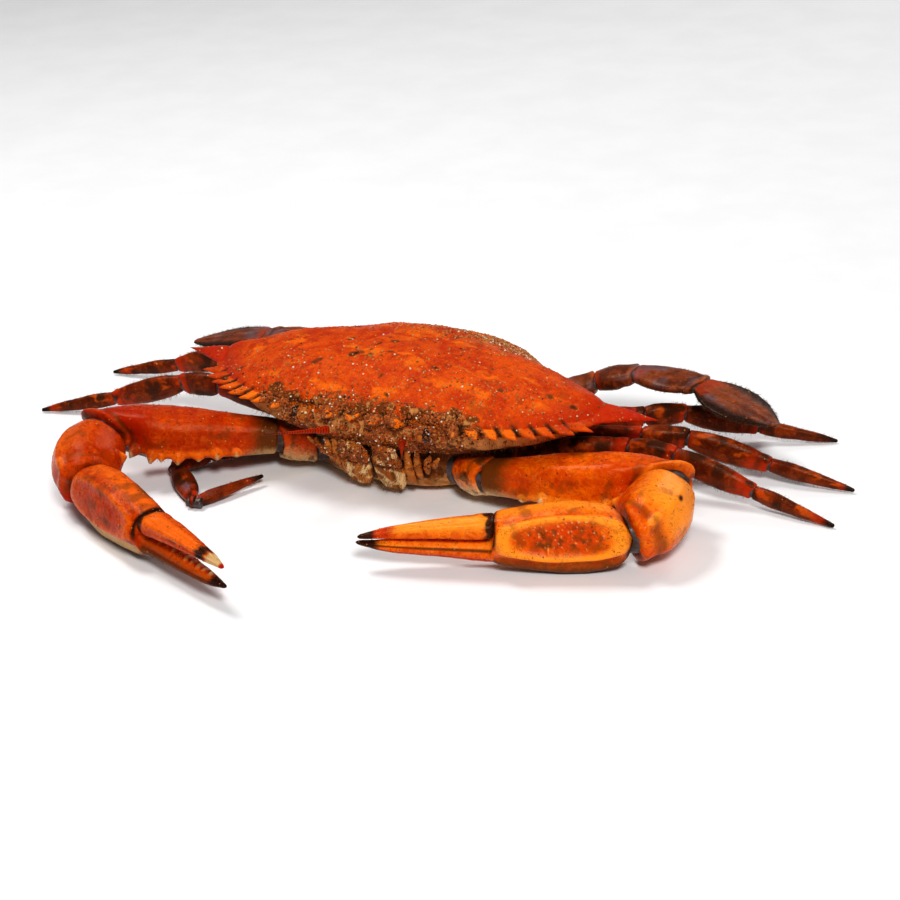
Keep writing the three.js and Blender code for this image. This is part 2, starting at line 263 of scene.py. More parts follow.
def in_step(rings):
    """Turns each ring, or reverses it, to lie closest to the ring before it."""
    made = [rings[0]]
    for ring in rings[1:]:
        last = made[-1] - made[-1].mean(0)
        turns = [np.roll(r, n, axis=0) for r in (ring, ring[::-1]) for n in range(len(ring))]
        made.append(min(turns, key=lambda r: np.sum((r - r.mean(0) - last) ** 2)))
    return np.array(made)


def along_the_sides(rings, shares):
    """Rings with straight sides, each side cut into its share of steps."""
    n = rings.shape[1]
    at = np.concatenate([k + np.arange(steps) / steps for k, steps in enumerate(shares)])
    k = at.astype(int)
    t = (at - k)[:, None]
    return rings[:, k] * (1 - t) + rings[:, (k + 1) % n] * t


def round_the_ring(rings, count):
    """Rings of count points on smooth closed curves through the given ones."""
    n = rings.shape[1]
    at = np.arange(count) * n / count
    k = at.astype(int)
    t = (at - k)[:, None]
    p = [rings[:, (k + shift) % n] for shift in (-1, 0, 1, 2)]
    return 0.5 * (
        2 * p[1]
        + (p[2] - p[0]) * t
        + (2 * p[0] - 5 * p[1] + 4 * p[2] - p[3]) * t**2
        + (3 * p[1] - p[0] - 3 * p[2] + p[3]) * t**3
    )


def shade(paint, channel, amount):
    """Raises a painted share to that amount wherever it is less."""
    paint[..., channel] = np.maximum(paint[..., channel], amount)


class Skin:
    """A fine skin over one limb piece. For every point it keeps s, the distance from the piece's
    near end, u, the same as a share of the length, and turn, the angle round the piece: 0 on its
    outer side, 90 degrees on top."""

    def __init__(self, node, sides, side, start, step=0.4, ends=(1.6, 0.9), front=None):
        rings = rings_of(node, sides)
        if np.linalg.norm(rings[0].mean(0) - start) > np.linalg.norm(rings[-1].mean(0) - start):
            rings = rings[::-1]
        self.node = node
        self.near_ring, self.far_ring = rings[0], rings[-1]
        middles = rings.mean(1)
        knots = np.concatenate([[0], np.cumsum(np.linalg.norm(np.diff(middles, axis=0), axis=1))])
        length = knots[-1]
        girth = max(np.sum(np.linalg.norm(r - np.roll(r, 1, axis=0), axis=1)) for r in rings)
        step *= FINE
        count = 4 * max(6, round(girth / step / 4))
        dome = np.linspace(0.12, 1, 6) * np.pi / 2
        near = ends[0] * (1 - np.cos(dome))
        far = length - ends[1] * (1 - np.cos(dome))[::-1]
        inner = np.linspace(ends[0], length - ends[1], max(4, round(length / step)))[1:-1]
        s = np.concatenate([near, inner, far])
        shrink = np.concatenate([np.sin(dome), np.ones(len(inner)), np.sin(dome)[::-1]])
        full = monotone(knots, round_the_ring(rings, count), s)
        self.middle = full.mean(1, keepdims=True)
        self.points = self.middle + (full - self.middle) * shrink[:, None, None]
        self.s = np.broadcast_to(s[:, None], full.shape[:2])
        self.length, self.u = length, self.s / length
        self.shrink = np.broadcast_to(shrink[:, None], full.shape[:2])
        way = unit(middles[-1] - middles[0])
        outer = side * np.cross(UP, way) if front is None else np.array(front, float)
        self.way, self.outer = way, unit(outer - outer.dot(way) * way)
        self.high = unit(UP - UP.dot(way) * way)
        arm = full - self.middle
        self.turn = np.degrees(np.arctan2(arm @ self.high, arm @ self.outer))
        self.reach = np.linalg.norm(arm, axis=-1)
        self.paint = np.zeros(full.shape[:2] + (6,))

    def normals(self):
        p = self.points
        around = np.roll(p, -1, axis=1) - np.roll(p, 1, axis=1)
        along = np.gradient(p, axis=0)
        n = unit(np.cross(around, along))
        outward = np.sum(n * (p - self.middle), -1)
        return n * np.sign(outward[outward.shape[0] // 2].sum() or 1)

    def swell(self, amount):
        """Moves each point out along its normal by that many millimetres, less at the round ends."""
        self.points = self.points + self.normals() * (amount * self.shrink)[..., None]

    def shade(self, channel, amount):
        shade(self.paint, channel, amount)

    def off(self, angle):
        """How far round each point lies from that angle, in degrees."""
        return (self.turn - angle + 180) % 360 - 180

    def band(self, angle, width):
        """1 along the line at that angle, falling to 0 beside it."""
        return bell(self.off(angle), width)

    def arc(self, angle):
        """The same as a distance along the surface."""
        return np.radians(self.off(angle)) * self.reach

    def spike(self, s, angle, height, width, power=1.3):
        """A pointed tooth of the shell with that foot."""
        gap = np.hypot(self.s - s, self.arc(angle)) / width
        self.swell(height * np.clip(1 - gap, 0, 1) ** power)
        return np.clip(1 - gap / 1.2, 0, 1)

    def build(self, material, slot):
        ends = self.points[[0, -1]].mean(1)
        add_tube(f"{self.node}_shell", self.points, ends, material, [self.node], self.paint)


# ---- Materials ----
def srgb(r, g, b):
    c = np.array([r, g, b]) / 255
    return (*np.where(c <= 0.04045, c / 12.92, ((c + 0.055) / 1.055) ** 2.4), 1.0)


class Nodes:
    """A material's nodes. Sizes are in millimetres."""

    def __init__(self, name):
        self.material = bpy.data.materials.new(name)
        self.material.use_nodes = True
        self.tree = self.material.node_tree
        self.shader = self.tree.nodes["Principled BSDF"]
        place = self.add("ShaderNodeTexCoord").outputs["Object"]
        scale = self.add("ShaderNodeVectorMath", operation="SCALE")
        scale.inputs["Scale"].default_value = 1 / MM
        self.link(place, scale.inputs[0])
        self.place = scale.outputs[0]

    def add(self, kind, **settings):
        node = self.tree.nodes.new(kind)
        for key, value in settings.items():
            setattr(node, key, value)
        return node

    def link(self, a, b):
        self.tree.links.new(a, b)

    def put(self, value, socket):
        if isinstance(value, bpy.types.NodeSocket):
            self.link(value, socket)
        else:
            socket.default_value = value

    def noise(self, size, detail=3, rough=0.55, twist=0.0):
        node = self.add("ShaderNodeTexNoise")
        node.inputs["Distortion"].default_value = twist
        self.link(self.place, node.inputs["Vector"])
        node.inputs["Scale"].default_value = 1 / size
        node.inputs["Detail"].default_value = detail
        node.inputs["Roughness"].default_value = rough
        return node.outputs["Fac"]

    def cells(self, size):
        node = self.add("ShaderNodeTexVoronoi")
        self.link(self.place, node.inputs["Vector"])
        node.inputs["Scale"].default_value = 1 / size
        return node.outputs["Distance"]

    def maths(self, operation, a, b=0.5):
        node = self.add("ShaderNodeMath", operation=operation, use_clamp=True)
        self.put(a, node.inputs[0])
        self.put(b, node.inputs[1])
        return node.outputs[0]

    def between(self, value, low, high, to_low=0.0, to_high=1.0):
        node = self.add("ShaderNodeMapRange", interpolation_type="SMOOTHSTEP")
        self.put(value, node.inputs["Value"])
        node.inputs["From Min"].default_value = low
        node.inputs["From Max"].default_value = high
        node.inputs["To Min"].default_value = to_low
        node.inputs["To Max"].default_value = to_high
        return node.outputs["Result"]

    def mix(self, share, a, b):
        node = self.add("ShaderNodeMix", data_type="RGBA")
        self.put(share, node.inputs[0])
        self.put(a, node.inputs[6])
        self.put(b, node.inputs[7])
        return node.outputs[2]

    def painted(self, layer):
        node = self.add("ShaderNodeAttribute", attribute_name=layer)
        split = self.add("ShaderNodeSeparateColor")
        self.link(node.outputs["Color"], split.inputs[0])
        return [split.outputs[k] for k in range(3)]

    def bump(self, height, strength, distance, under=None):
        node = self.add("ShaderNodeBump")
        self.link(height, node.inputs["Height"])
        node.inputs["Strength"].default_value = strength
        node.inputs["Distance"].default_value = distance * MM
        if under is not None:
            self.link(under, node.inputs["Normal"])
        return node.outputs["Normal"]


def shell(name, low_dark, low, high, bright, red, stain, pale, dark, grey,
          gloss=0.36, grain=0.5, speckle=0.35, veins=0.4, coat=0.1, mottle=0.35):
    """Cooked shell: its own two tones in clouds, the painted shares over them, fine dark specks,
    pale specks that are partly grain tops and partly painted glints, and a sheen that is duller where it is
    stained."""
    n = Nodes(name)
    cloud = n.noise(7.0, 5, 0.6, 0.6)
    patch = n.noise(2.0, 4, 0.6, 0.8)
    fine = n.noise(0.8, 4, 0.7)
    colour = n.mix(n.between(cloud, 0.38, 0.62), low, high)
    colour = n.mix(n.between(patch, 0.54, 0.72, 0, 0.4), colour, bright)
    colour = n.mix(n.between(patch, 0.46, 0.3, 0, 0.55), colour, low_dark)
    colour = n.mix(n.between(fine, 0.56, 0.72, 0, mottle), colour, bright)
    colour = n.mix(n.between(fine, 0.44, 0.3, 0, mottle), colour, low_dark)
    stained, paled, darkened = n.painted("stain")
    brightened, reddened, greyed = n.painted("hue")

    def blotched(share, by):
        """A painted share, broken up into blotches where it is between none and all."""
        both = n.add("ShaderNodeMath", operation="ADD")
        n.put(share, both.inputs[0])
        n.put(n.maths("MULTIPLY", by, 0.7), both.inputs[1])
        full = n.between(both.outputs[0], 0.35, 1.15)
        return n.maths("MULTIPLY", full, n.between(share, 0.0, 0.25))

    colour = n.mix(blotched(brightened, patch), colour, bright)
    colour = n.mix(blotched(reddened, cloud), colour, red)
    colour = n.mix(blotched(greyed, patch), colour, grey)
    colour = n.mix(blotched(stained, patch), colour, stain)
    colour = n.mix(blotched(paled, fine), colour, pale)
    colour = n.mix(blotched(darkened, fine), colour, dark)
    specks = n.maths("MULTIPLY", n.between(n.cells(0.9), 0.22, 0.10), n.between(cloud, 0.45, 0.62))
    colour = n.mix(n.maths("MULTIPLY", specks, speckle), colour, dark)
    # Pale specks: partly pale grain tops, partly painted glints.
    lights = n.maths("MULTIPLY", n.between(n.cells(0.62), 0.2, 0.08), n.between(patch, 0.5, 0.66))
    colour = n.mix(n.maths("MULTIPLY", lights, speckle), colour, pale)
    off = n.add("ShaderNodeMath", operation="SUBTRACT")
    n.link(n.noise(3.2, 4, 0.6, 1.2), off.inputs[0])
    off.inputs[1].default_value = 0.5
    size = n.add("ShaderNodeMath", operation="ABSOLUTE")
    n.link(off.outputs[0], size.inputs[0])
    lines = n.maths("MULTIPLY", n.between(size.outputs[0], 0.022, 0.004), n.between(cloud, 0.42, 0.6))
    colour = n.mix(n.maths("MULTIPLY", lines, veins), colour, stain)
    n.link(colour, n.shader.inputs["Base Color"])
    rough = n.between(patch, 0.3, 0.75, gloss - 0.07, gloss + 0.12)
    dull = n.maths("MULTIPLY", stained, 0.3)
    n.link(n.maths("ADD", rough, dull), n.shader.inputs["Roughness"])
    n.shader.inputs["Specular IOR Level"].default_value = 0.16
    n.shader.inputs["Specular Tint"].default_value = (1.0, 0.6, 0.25, 1)
    n.shader.inputs["Coat Weight"].default_value = coat
    n.shader.inputs["Coat Roughness"].default_value = 0.16
    n.shader.inputs["Coat Tint"].default_value = (1.0, 0.86, 0.7, 1)
    pits = n.bump(n.cells(0.7), 0.5 * grain, 0.14)
    ripples = n.bump(n.noise(1.2, 5, 0.68), 0.9 * grain, 0.32, pits)
    n.link(ripples, n.shader.inputs["Normal"])
    n.link(ripples, n.shader.inputs["Coat Normal"])
    return n.material


CREAM = srgb(222, 190, 140)
CRUST = srgb(112, 56, 20)
SOOT = srgb(44, 20, 10)
STEEL = srgb(104, 112, 122)

CARAPACE = shell("carapace_shell", srgb(140, 34, 0), srgb(188, 52, 0), srgb(220, 80, 0), srgb(248, 120, 10),
                 srgb(184, 30, 0), CRUST, srgb(206, 142, 82), SOOT, STEEL, gloss=0.38, grain=1.3, speckle=0.6,
                 coat=0.04, mottle=0.7)
CLAW = shell("claw_shell", srgb(160, 46, 0), srgb(208, 74, 0), srgb(238, 106, 0), srgb(255, 148, 38),
             srgb(200, 52, 0), srgb(110, 56, 12), CREAM, srgb(52, 20, 8), STEEL, gloss=0.27, grain=0.6,
             speckle=0.4, veins=0.6, coat=0.12)
# Painted shade: a darker, redder copy of the claw's colours, for the crab's right claw, which lies away from
# the light.
CLAW_IN_PAINTED_SHADE = shell("claw_shell_in_painted_shade", srgb(128, 26, 0), srgb(172, 46, 0), srgb(198, 64, 0),
                   srgb(236, 106, 14), srgb(168, 24, 0), srgb(96, 46, 10), srgb(204, 164, 112),
                   srgb(48, 18, 8), STEEL, gloss=0.27, grain=0.6, speckle=0.4, veins=0.7, coat=0.06)
# The grey of the legs and the paddles is painted sheen, laid along their upper sides.
LEG = shell("leg_shell", srgb(52, 18, 8), srgb(84, 28, 8), srgb(128, 48, 10), srgb(202, 84, 14),
            srgb(190, 48, 4), srgb(62, 26, 12), srgb(186, 146, 100), srgb(32, 14, 10),
            srgb(104, 100, 112), gloss=0.36)
PADDLE = shell("paddle_shell", srgb(58, 24, 14), srgb(92, 38, 20), srgb(136, 64, 28), srgb(190, 92, 30),
               srgb(170, 52, 12), srgb(68, 32, 18), srgb(188, 146, 104), srgb(38, 18, 14),
               srgb(112, 100, 106), gloss=0.38)
BELLY = shell("belly_shell", srgb(176, 124, 66), srgb(206, 160, 100), srgb(226, 186, 130), srgb(228, 136, 50),
              srgb(204, 84, 20), srgb(126, 70, 26), srgb(236, 212, 168), srgb(70, 36, 16),
              srgb(144, 134, 128), gloss=0.42)
MOUTH = shell("mouth_shell", srgb(116, 60, 18), srgb(158, 88, 30), srgb(198, 122, 50), srgb(226, 128, 40),
              srgb(188, 70, 12), srgb(132, 74, 28), srgb(232, 194, 138), srgb(66, 34, 16), STEEL, gloss=0.46)


def plain(name, colour, other, size, gloss, bump=0.4):
    n = Nodes(name)
    cloud = n.noise(size, 4)
    n.link(n.mix(n.between(cloud, 0.35, 0.65), colour, other), n.shader.inputs["Base Color"])
    n.link(n.between(n.noise(size * 0.6), 0.3, 0.7, gloss - 0.08, gloss + 0.12), n.shader.inputs["Roughness"])
    n.link(n.bump(n.noise(size * 0.4), bump, 0.15), n.shader.inputs["Normal"])
    n.shader.inputs["Specular IOR Level"].default_value = 0.3
    return n.material


MEMBRANE = plain("joint_membrane", srgb(88, 80, 80), srgb(56, 32, 20), 3.0, 0.4)
HAIR = plain("setae", srgb(70, 42, 22), srgb(120, 78, 40), 2.0, 0.5)
EYE = plain("eye_cornea", srgb(30, 14, 10), srgb(60, 26, 14), 0.5, 0.16, bump=0.15)
TAN = plain("spice_tan", srgb(172, 108, 50), srgb(204, 146, 86), 0.8, 0.7)
BROWN = plain("spice_brown", srgb(118, 56, 16), srgb(160, 84, 28), 0.7, 0.6)
RUST = plain("spice_rust", srgb(164, 70, 10), srgb(196, 98, 24), 0.7, 0.5)
BLACK = plain("spice_dark", srgb(34, 18, 10), srgb(70, 36, 18), 0.7, 0.6)
SALT = plain("spice_salt", srgb(238, 226, 204), srgb(214, 192, 158), 0.7, 0.35)


# ---- Limbs ----
def weather(skin, size=5.0, seed=0, depth=0.16):
    """The slow unevenness of real shell, and fine grains over it."""
    p = skin.points
    grains = pimples(p, 1.5, seed + 5, 0.35)
    skin.swell(depth * rough(p, size, seed) + 0.1 * grains * smooth(-0.3, 0.5, noise(p, 9, seed + 9)))


def rim(skin, at_near=False, height=0.3, lobe=1.0):
    """An uneven collar round the joint with a furrow behind it. At the far end it reaches over the
    next piece with lobes above and below."""
    gap = skin.s if at_near else skin.length - skin.s
    gap = gap + 1.2 * noise(skin.points, 6, 71)
    patchy = 0.55 + 0.45 * smooth(-0.3, 0.4, noise(skin.points, 5, 72))
    skin.swell(patchy * height * (bell(gap - 1.4, 0.9) - 0.7 * bell(gap - 3.4, 1.1)))
    skin.shade(DARK, 0.7 * bell(gap + 0.2, 0.6) * patchy)
    skin.shade(STAIN, 0.5 * patchy * bell(gap - 3.4, 0.9))
    if not at_near:
        turned = np.radians(skin.turn)
        reach = lobe * (0.25 + 0.75 * np.sin(turned) ** 2 * (turned > 0) - 0.3 * np.cos(turned) ** 2)
        skin.points = skin.points + skin.way * (reach * smooth(5, 0.5, skin.length - skin.s))[..., None]


# Along the front edge of the arm: each spine's place, as a share of the length, and its height.
MERUS_SPINES = ((0.24, 1.0), (0.35, 1.9), (0.45, 1.4), (0.56, 2.3), (0.68, 1.6), (0.76, 2.6), (0.9, 3.4))


def claw_merus(skin, seed, right):
    rise = smooth(0.0, 0.2, skin.u)
    skin.swell(-0.7 * skin.band(-92, 45) + 1.2 * rise * skin.band(204, 14))
    skin.swell(0.45 * skin.band(30, 13) * rise + 0.3 * skin.band(128, 12) * rise)
    skin.swell(-0.35 * skin.band(165, 10) * rise)
    weather(skin, 6, seed)
    tips = 0
    for place, height in MERUS_SPINES:
        wobble = 10 * (lattice(np.array([int(100 * place), seed, 0]), 3) - 0.5)
        spine = skin.spike(place * skin.length, 205 + wobble, height, 1.3 + 0.5 * height, 1.15)
        tips = np.maximum(tips, spine)
    skin.shade(BRIGHT, 0.9 * smooth(0.1, 0.4, tips))
    skin.shade(PALE, 0.75 * smooth(0.6, 0.9, tips))
    rim(skin, height=0.4, lobe=2.5)
    skin.shade(STAIN, 0.9 * smooth(0.24, 0.04, skin.u))
    # Painted shadow: a dark line just under the row of spines, where they shade the arm.
    skin.shade(DARK, 0.7 * skin.band(226, 9) * smooth(0.2, 0.4, skin.u))
    skin.shade(BRIGHT, 0.6 * skin.band(200, 9) * smooth(0.15, 0.35, skin.u))
    skin.shade(STAIN, 0.7 * skin.band(-120, 26))
    skin.shade(BRIGHT, 0.65 * bell(skin.length - skin.s - 1.6, 1.3))
    skin.shade(PALE, 0.9 * smooth(0.34, 0.1, skin.u) * skin.band(-125, 34))
    ragged = skin.u + 0.12 * noise(skin.points, 6, seed)
    skin.shade(RED, (0.55 if right else 0.35) * smooth(0.6, 0.95, ragged))
    skin.shade(STAIN, 0.4 * patches(skin.points, 5, seed + 8, 0.1, 0.9, 4))


def claw_carpus(skin, seed, right):
    skin.swell(-2.6 * smooth(5.5, 0, skin.s) - 0.1 * skin.reach * np.sin(np.radians(2 * skin.turn)) ** 2)
    skin.swell(0.9 * skin.band(42, 13) * smooth(0.1, 0.4, skin.u))
    skin.swell(0.6 * skin.band(-34, 12) * smooth(0.2, 0.6, skin.u))
    weather(skin, 7, seed, 0.14)
    inner = skin.spike(0.6 * skin.length, 172, 2.4, 3.2)
    tip = np.maximum(inner, skin.spike(0.86 * skin.length, 48, 1.3, 2.6))
    skin.shade(BRIGHT, 0.8 * smooth(0.3, 0.7, tip))
    rim(skin, height=0.35, lobe=1.7)
    skin.shade(DARK, 0.8 * smooth(3.5, 1.5, skin.s + noise(skin.points, 3, 5)))
    skin.shade(STAIN, 0.35 * patches(skin.points, 4, seed + 2, 0.2, 0.9, 4))
    # The upper outer side is painted brighter: the shell's own lighter top with a painted highlight over it,
    # full on the left claw, which faces the light, and half on the right.
    skin.shade(BRIGHT, (0.5 if right else 1.0) * skin.band(30, 75) * smooth(1.0, 0.6, skin.u))
    skin.shade(DARK, 0.9 * bell(np.hypot(skin.s - 0.52 * skin.length, skin.arc(38)), 0.9))
    skin.shade(RED, (0.8 if right else 0.35) * skin.band(-40, 45))
    skin.shade(STAIN, 0.6 * skin.band(-110, 40))


PALM = 40.0  # length of the palm, up to the fork of the fingers
SEAT_Z = 8.5  # height at which the limbs leave the trunk


def pear(skin, hand):
    """The hand narrows towards its fingers, from the middle of the palm on, and its fingers with it."""
    start = hand.near_ring.mean(0)
    along = (skin.points - start) @ hand.way
    height = (skin.points - start) @ hand.high
    share = 0.21 * smooth(16, PALM, along)
    skin.points = skin.points - hand.high * (height * share)[..., None]


def lattice_wave(s, seed):
    """Slow uneven waves from 0 to 1 along a piece."""
    return 0.5 + 0.5 * noise(np.stack([s, 0 * s, 0 * s], -1), 5, seed)


def claw_hand(skin, seed, right):
    s = skin.s
    skin.swell(-0.085 * skin.reach * np.sin(np.radians(2 * skin.turn)) ** 2)
    pear(skin, skin)
    palm, finger = smooth(PALM + 1, PALM - 5, s), smooth(PALM, PALM + 4, s)
    body = palm * smooth(1, 7, s)
    # The outer face is a long hollow medallion inside a smooth raised loop.
    oval = (np.abs((s - 19.5) / 15.5) ** 2.6 + np.abs(skin.arc(22) / 6.3) ** 2.6) ** (1 / 2.6)
    oval = oval + 0.04 * noise(skin.points, 5, seed + 1)
    depth = 0.45 if right else 1.0
    loop = depth * bell(oval - 1.04, 0.19) * smooth(PALM + 1, PALM - 6, s)
    skin.swell(1.25 * loop + body * 0.5 * skin.band(112, 12))
    skin.swell(-0.6 * body * skin.band(-40, 10) + 0.5 * body * skin.band(-66, 13))
    hollow = depth * smooth(1.02, 0.4, oval)
    skin.swell(-1.4 * hollow)
    wander = s + 0.9 * noise(skin.points, 4, seed + 3)
    bumps = np.abs(np.sin(np.pi * wander / 2.0)) ** 2 * bell(skin.arc(50) + 0.4 * np.sin(s / 3), 0.6)
    bumps = bumps * smooth(4, 9, s) * smooth(PALM - 2, PALM - 8, s) * (0.4 + 0.6 * lattice_wave(s, seed))
    skin.swell(0.3 * bumps)
    grains = pimples(skin.points, 1.2, seed + 31, 0.75) * np.clip(hollow * 1.6, 0, 1)
    skin.swell(0.3 * grains)
    # The fixed finger: two furrows outside, one inside, and a row of blunt teeth on its upper edge.
    reach = np.clip(s - PALM, 0, None)
    for angle in (22, 158, -26):
        skin.swell(-0.4 * finger * skin.band(angle, 13) * smooth(skin.length, skin.length - 9, s))
    teeth = (0.5 + 0.5 * np.cos(2 * np.pi * (s - PALM) / 3.1)) ** 1.2 * (0.7 + 0.3 * np.cos(s))
    height = np.clip(0.25 + 0.06 * reach, 0, 1.3) if right else 0.28
    row = finger * skin.band(90, 24) * smooth(skin.length - 1, skin.length - 5, s)
    skin.swell(height * teeth * row)
    weather(skin, 6, seed, 0.15)
    rim(skin, at_near=True, height=0.2)
    # Painted shade: dark round the wrist's end, in the crevice where the palm meets the carpus.
    skin.shade(DARK, 0.85 * smooth(3.4, 1.6, s + 0.8 * noise(skin.points, 4, seed + 2)))
    skin.shade(BRIGHT, np.clip(1.1 * loop, 0, 0.95))
    skin.shade(BRIGHT, 0.6 * body * skin.band(96, 24))
    skin.shade(BRIGHT, 0.5 * finger * skin.band(50, 30))
    skin.shade(RED, 0.5 * hollow)
    skin.shade(STAIN, 0.6 * hollow * patches(skin.points, 1.3, seed, -0.4, 0.7))
    skin.shade(PALE, depth * (0.6 * smooth(0.35, 0.8, bumps) + 0.4 * smooth(0.5, 0.85, grains)))
    skin.shade(BRIGHT, 0.8 * depth * smooth(0.3, 0.7, grains))
    skin.shade(STAIN, 0.4 * body * patches(skin.points, 4, seed + 6, 0.15, 0.8))
    under = skin.band(-75, 34)
    if right:
        skin.shade(PALE, 0.8 * skin.band(-46, 20) * smooth(3, 16, s) * smooth(52, 30, s))
        skin.shade(STAIN, 0.8 * finger * skin.band(-20, 60))
        skin.shade(PALE, 0.9 * row * teeth)
        skin.shade(STAIN, 0.55 * body * smooth(0.1, 0.7, noise(skin.points * [1, 1, 3], 7, seed)))
    else:
        skin.shade(RED, 0.8 * finger * skin.band(-70, 50))
        skin.shade(STAIN, 0.85 * finger * skin.band(24, 9))
    skin.shade(STAIN, 0.85 * under)
    upper = smooth(-25, 20, skin.off(0)) * smooth(165, 120, skin.off(0))
    skin.shade(DARK, 0.85 * bell(s - PALM + 1.2, 1.5) * upper)
    skin.shade(DARK, smooth(skin.length - 9, skin.length - 4, s) * 0.95)


def claw_finger(skin, seed, right):
    s, left_over = skin.s, skin.length - skin.s
    skin.points = skin.points - skin.way * (2.6 * smooth(6, 0, s))[..., None]
    taper = smooth(1, 5, s) * smooth(0, 8, left_over)
    for angle in (8, 62, 128, 176):
        skin.swell(-0.36 * taper * skin.band(angle, 10))
    skin.swell(0.25 * taper * skin.band(34, 12) + 0.3 * taper * skin.band(92, 12))
    teeth = (0.5 + 0.5 * np.cos(2 * np.pi * s / 3.1 + 1.5)) ** 1.2 * (0.7 + 0.3 * np.cos(1.4 * s))
    height = np.clip(0.25 + 0.05 * s, 0, 1.2) if right else 0.26
    row = taper * skin.band(-90, 24)
    skin.swell(height * teeth * row)
    weather(skin, 5, seed, 0.1)
    skin.swell(0.25 * bell(s - 3.4, 1.2))
    skin.shade(DARK, 0.9 * smooth(3.2, 1.6, s + 0.8 * noise(skin.points, 2, 3)))
    skin.shade(BRIGHT, 0.85 * skin.band(70, 60))
    skin.shade(STAIN, 0.6 * skin.band(8, 9) * smooth(0, 0.5, noise(skin.points, 4, seed)))
    skin.shade(PALE, 0.8 * row * teeth)
    if right:  # a dark purple band, then a pink tip with a red end
        skin.shade(DARK, 0.95 * bell(left_over - 9.5, 2.2))
        skin.shade(PALE, 0.8 * smooth(8, 5.5, left_over) * smooth(0.6, 2, left_over))
        skin.shade(RED, 0.9 * smooth(2.6, 1, left_over))
    else:
        skin.shade(RED, 0.7 * smooth(14, 7, left_over))
        skin.shade(DARK, 0.95 * smooth(7, 3, left_over))


def claw_ischium(skin, seed, right):
    weather(skin, 4, seed, 0.55)
    rim(skin, height=0.15, lobe=2.4)
    skin.shade(DARK, 0.5 * patches(skin.points, 3, seed + 4, 0.3, 0.8))
    skin.shade(STAIN, 0.8 * smooth(-0.2, 0.5, noise(skin.points, 4, seed)) * (skin.turn > -20))
    skin.shade(PALE, 0.85 * skin.band(-110, 60))


def walking(skin, segment, seed):
    """Legs are flattened, with a keel above and below, and furrows along both faces."""
    keel = {"ischium": 0.15, "merus": 0.35, "carpus": 0.3, "propodus": 0.35, "dactylus": 0.12}[segment]
    along = smooth(0.03, 0.2, skin.u) * smooth(1.0, 0.85, skin.u)
    skin.swell(along * keel * (skin.band(90, 16) + skin.band(-90, 16)))
    if segment in ("carpus", "propodus", "dactylus"):
        for angle in (30, -30, 150, 210):
            skin.swell(-0.55 * keel * along * skin.band(angle, 14))
    weather(skin, 4, seed, 0.1)
    if segment != "dactylus":
        rim(skin, height=0.2)
    ragged = skin.u + 0.1 * noise(skin.points, 3.5, seed + 3)
    skin.shade(BRIGHT, 0.5 * patches(skin.points * [1, 1, 2], 4, seed + 11, 0.1, 0.8) * (skin.turn > 20))
    skin.shade(RED, 0.3 * smooth(0.22, 0.0, ragged) + 0.6 * smooth(0.6, 1.0, ragged))
    skin.shade(STAIN, 0.7 * patches(skin.points, 5, seed + 7, 0.0, 0.6))
    # Painted sheen: grey patches along the top of the leg stand for its grey-blue reflection.
    skin.shade(GREY, 0.4 * skin.band(70, 45) * patches(skin.points, 6, seed + 1, -0.3, 0.8))
    skin.shade(PALE, 0.5 * skin.band(-90, 30) * (segment in ("ischium", "merus")))
    if segment == "dactylus":
        skin.shade(DARK, 0.9 * smooth(5, 1, skin.length - skin.s))


def swimming(skin, segment, seed):
    along = smooth(0.05, 0.25, skin.u) * smooth(1.0, 0.8, skin.u)
    if segment in ("propodus", "dactylus"):
        for angle in (90, -90):
            skin.swell(0.16 * along * bell(skin.arc(angle), 0.8))
            skin.swell(-0.12 * along * bell(np.abs(skin.arc(angle)) - 2.6, 1.0))
    edge = np.minimum(np.abs(skin.off(0)), np.abs(skin.off(180)))
    weather(skin, 4, seed, 0.06 if segment == "dactylus" else 0.1)
    if segment != "dactylus":
        rim(skin, height=0.2)
    skin.shade(DARK, 0.8 * smooth(16, 4, edge) * (segment == "dactylus"))
    ragged = skin.u + 0.12 * noise(skin.points, 4, seed + 3)
    skin.shade(BRIGHT, 0.4 * smooth(0.88, 1.0, ragged) * (segment != "dactylus"))
    skin.shade(RED, 0.5 * smooth(0.28, 0.0, ragged))
    # Painted sheen: grey patches over the upper side stand for the paddle's grey reflection.
    skin.shade(GREY, 0.45 * patches(skin.points, 8, seed + 1, -0.3, 0.9) * (skin.turn > 0))


SEGMENTS = ("ischium", "merus", "carpus", "propodus", "dactylus")
CLAW_WORK = dict(zip(SEGMENTS, (claw_ischium, claw_merus, claw_carpus, claw_hand, claw_finger)))
SMALL_END = (0.8, 0.5)  # how far the round ends of the legs' pieces reach in
WRIST_DOME = 4.2  # the same for the wrist's end of the palm, which is rounder

limbs = {}
for hand, side in BOTH:
    for kind in ("claw", "leg2", "leg3", "leg4", "swimmer"):
        last = np.array([side * 20.0, 0.0, SEAT_Z])
        chain = []
        for k, segment in enumerate(SEGMENTS):
            node = f"{kind}_{hand}_{segment}"
            seed = sum(map(ord, node))
            if kind == "claw":
                near_end = WRIST_DOME if segment == "propodus" else 1.5
                skin = Skin(node, 12, side, last, step=0.42, ends=(near_end, 1.2))
                if segment == "dactylus":
                    pear(skin, chain[-1])
                CLAW_WORK[segment](skin, seed, side < 0)
                # The right claw gets the copy of the claw colours with painted shade.
                skin.build(CLAW if side > 0 else CLAW_IN_PAINTED_SHADE, "claw")
            else:
                shape = swimming if kind == "swimmer" else walking
                skin = Skin(node, 8, side, last, step=0.4, ends=SMALL_END)
                shape(skin, segment, seed)
                blade = kind == "swimmer" and segment == "dactylus"
                skin.build(PADDLE if kind == "swimmer" else LEG, "paddle" if blade else "leg")
            # Of the movable finger's ends, its hinge is the one nearer to the wrist, not to the tip.
            hand_piece = kind == "claw" and segment == "propodus"
            last = (skin.near_ring if hand_piece else skin.far_ring).mean(0)
            chain.append(skin)
        limbs[f"{kind}_{hand}"] = chain


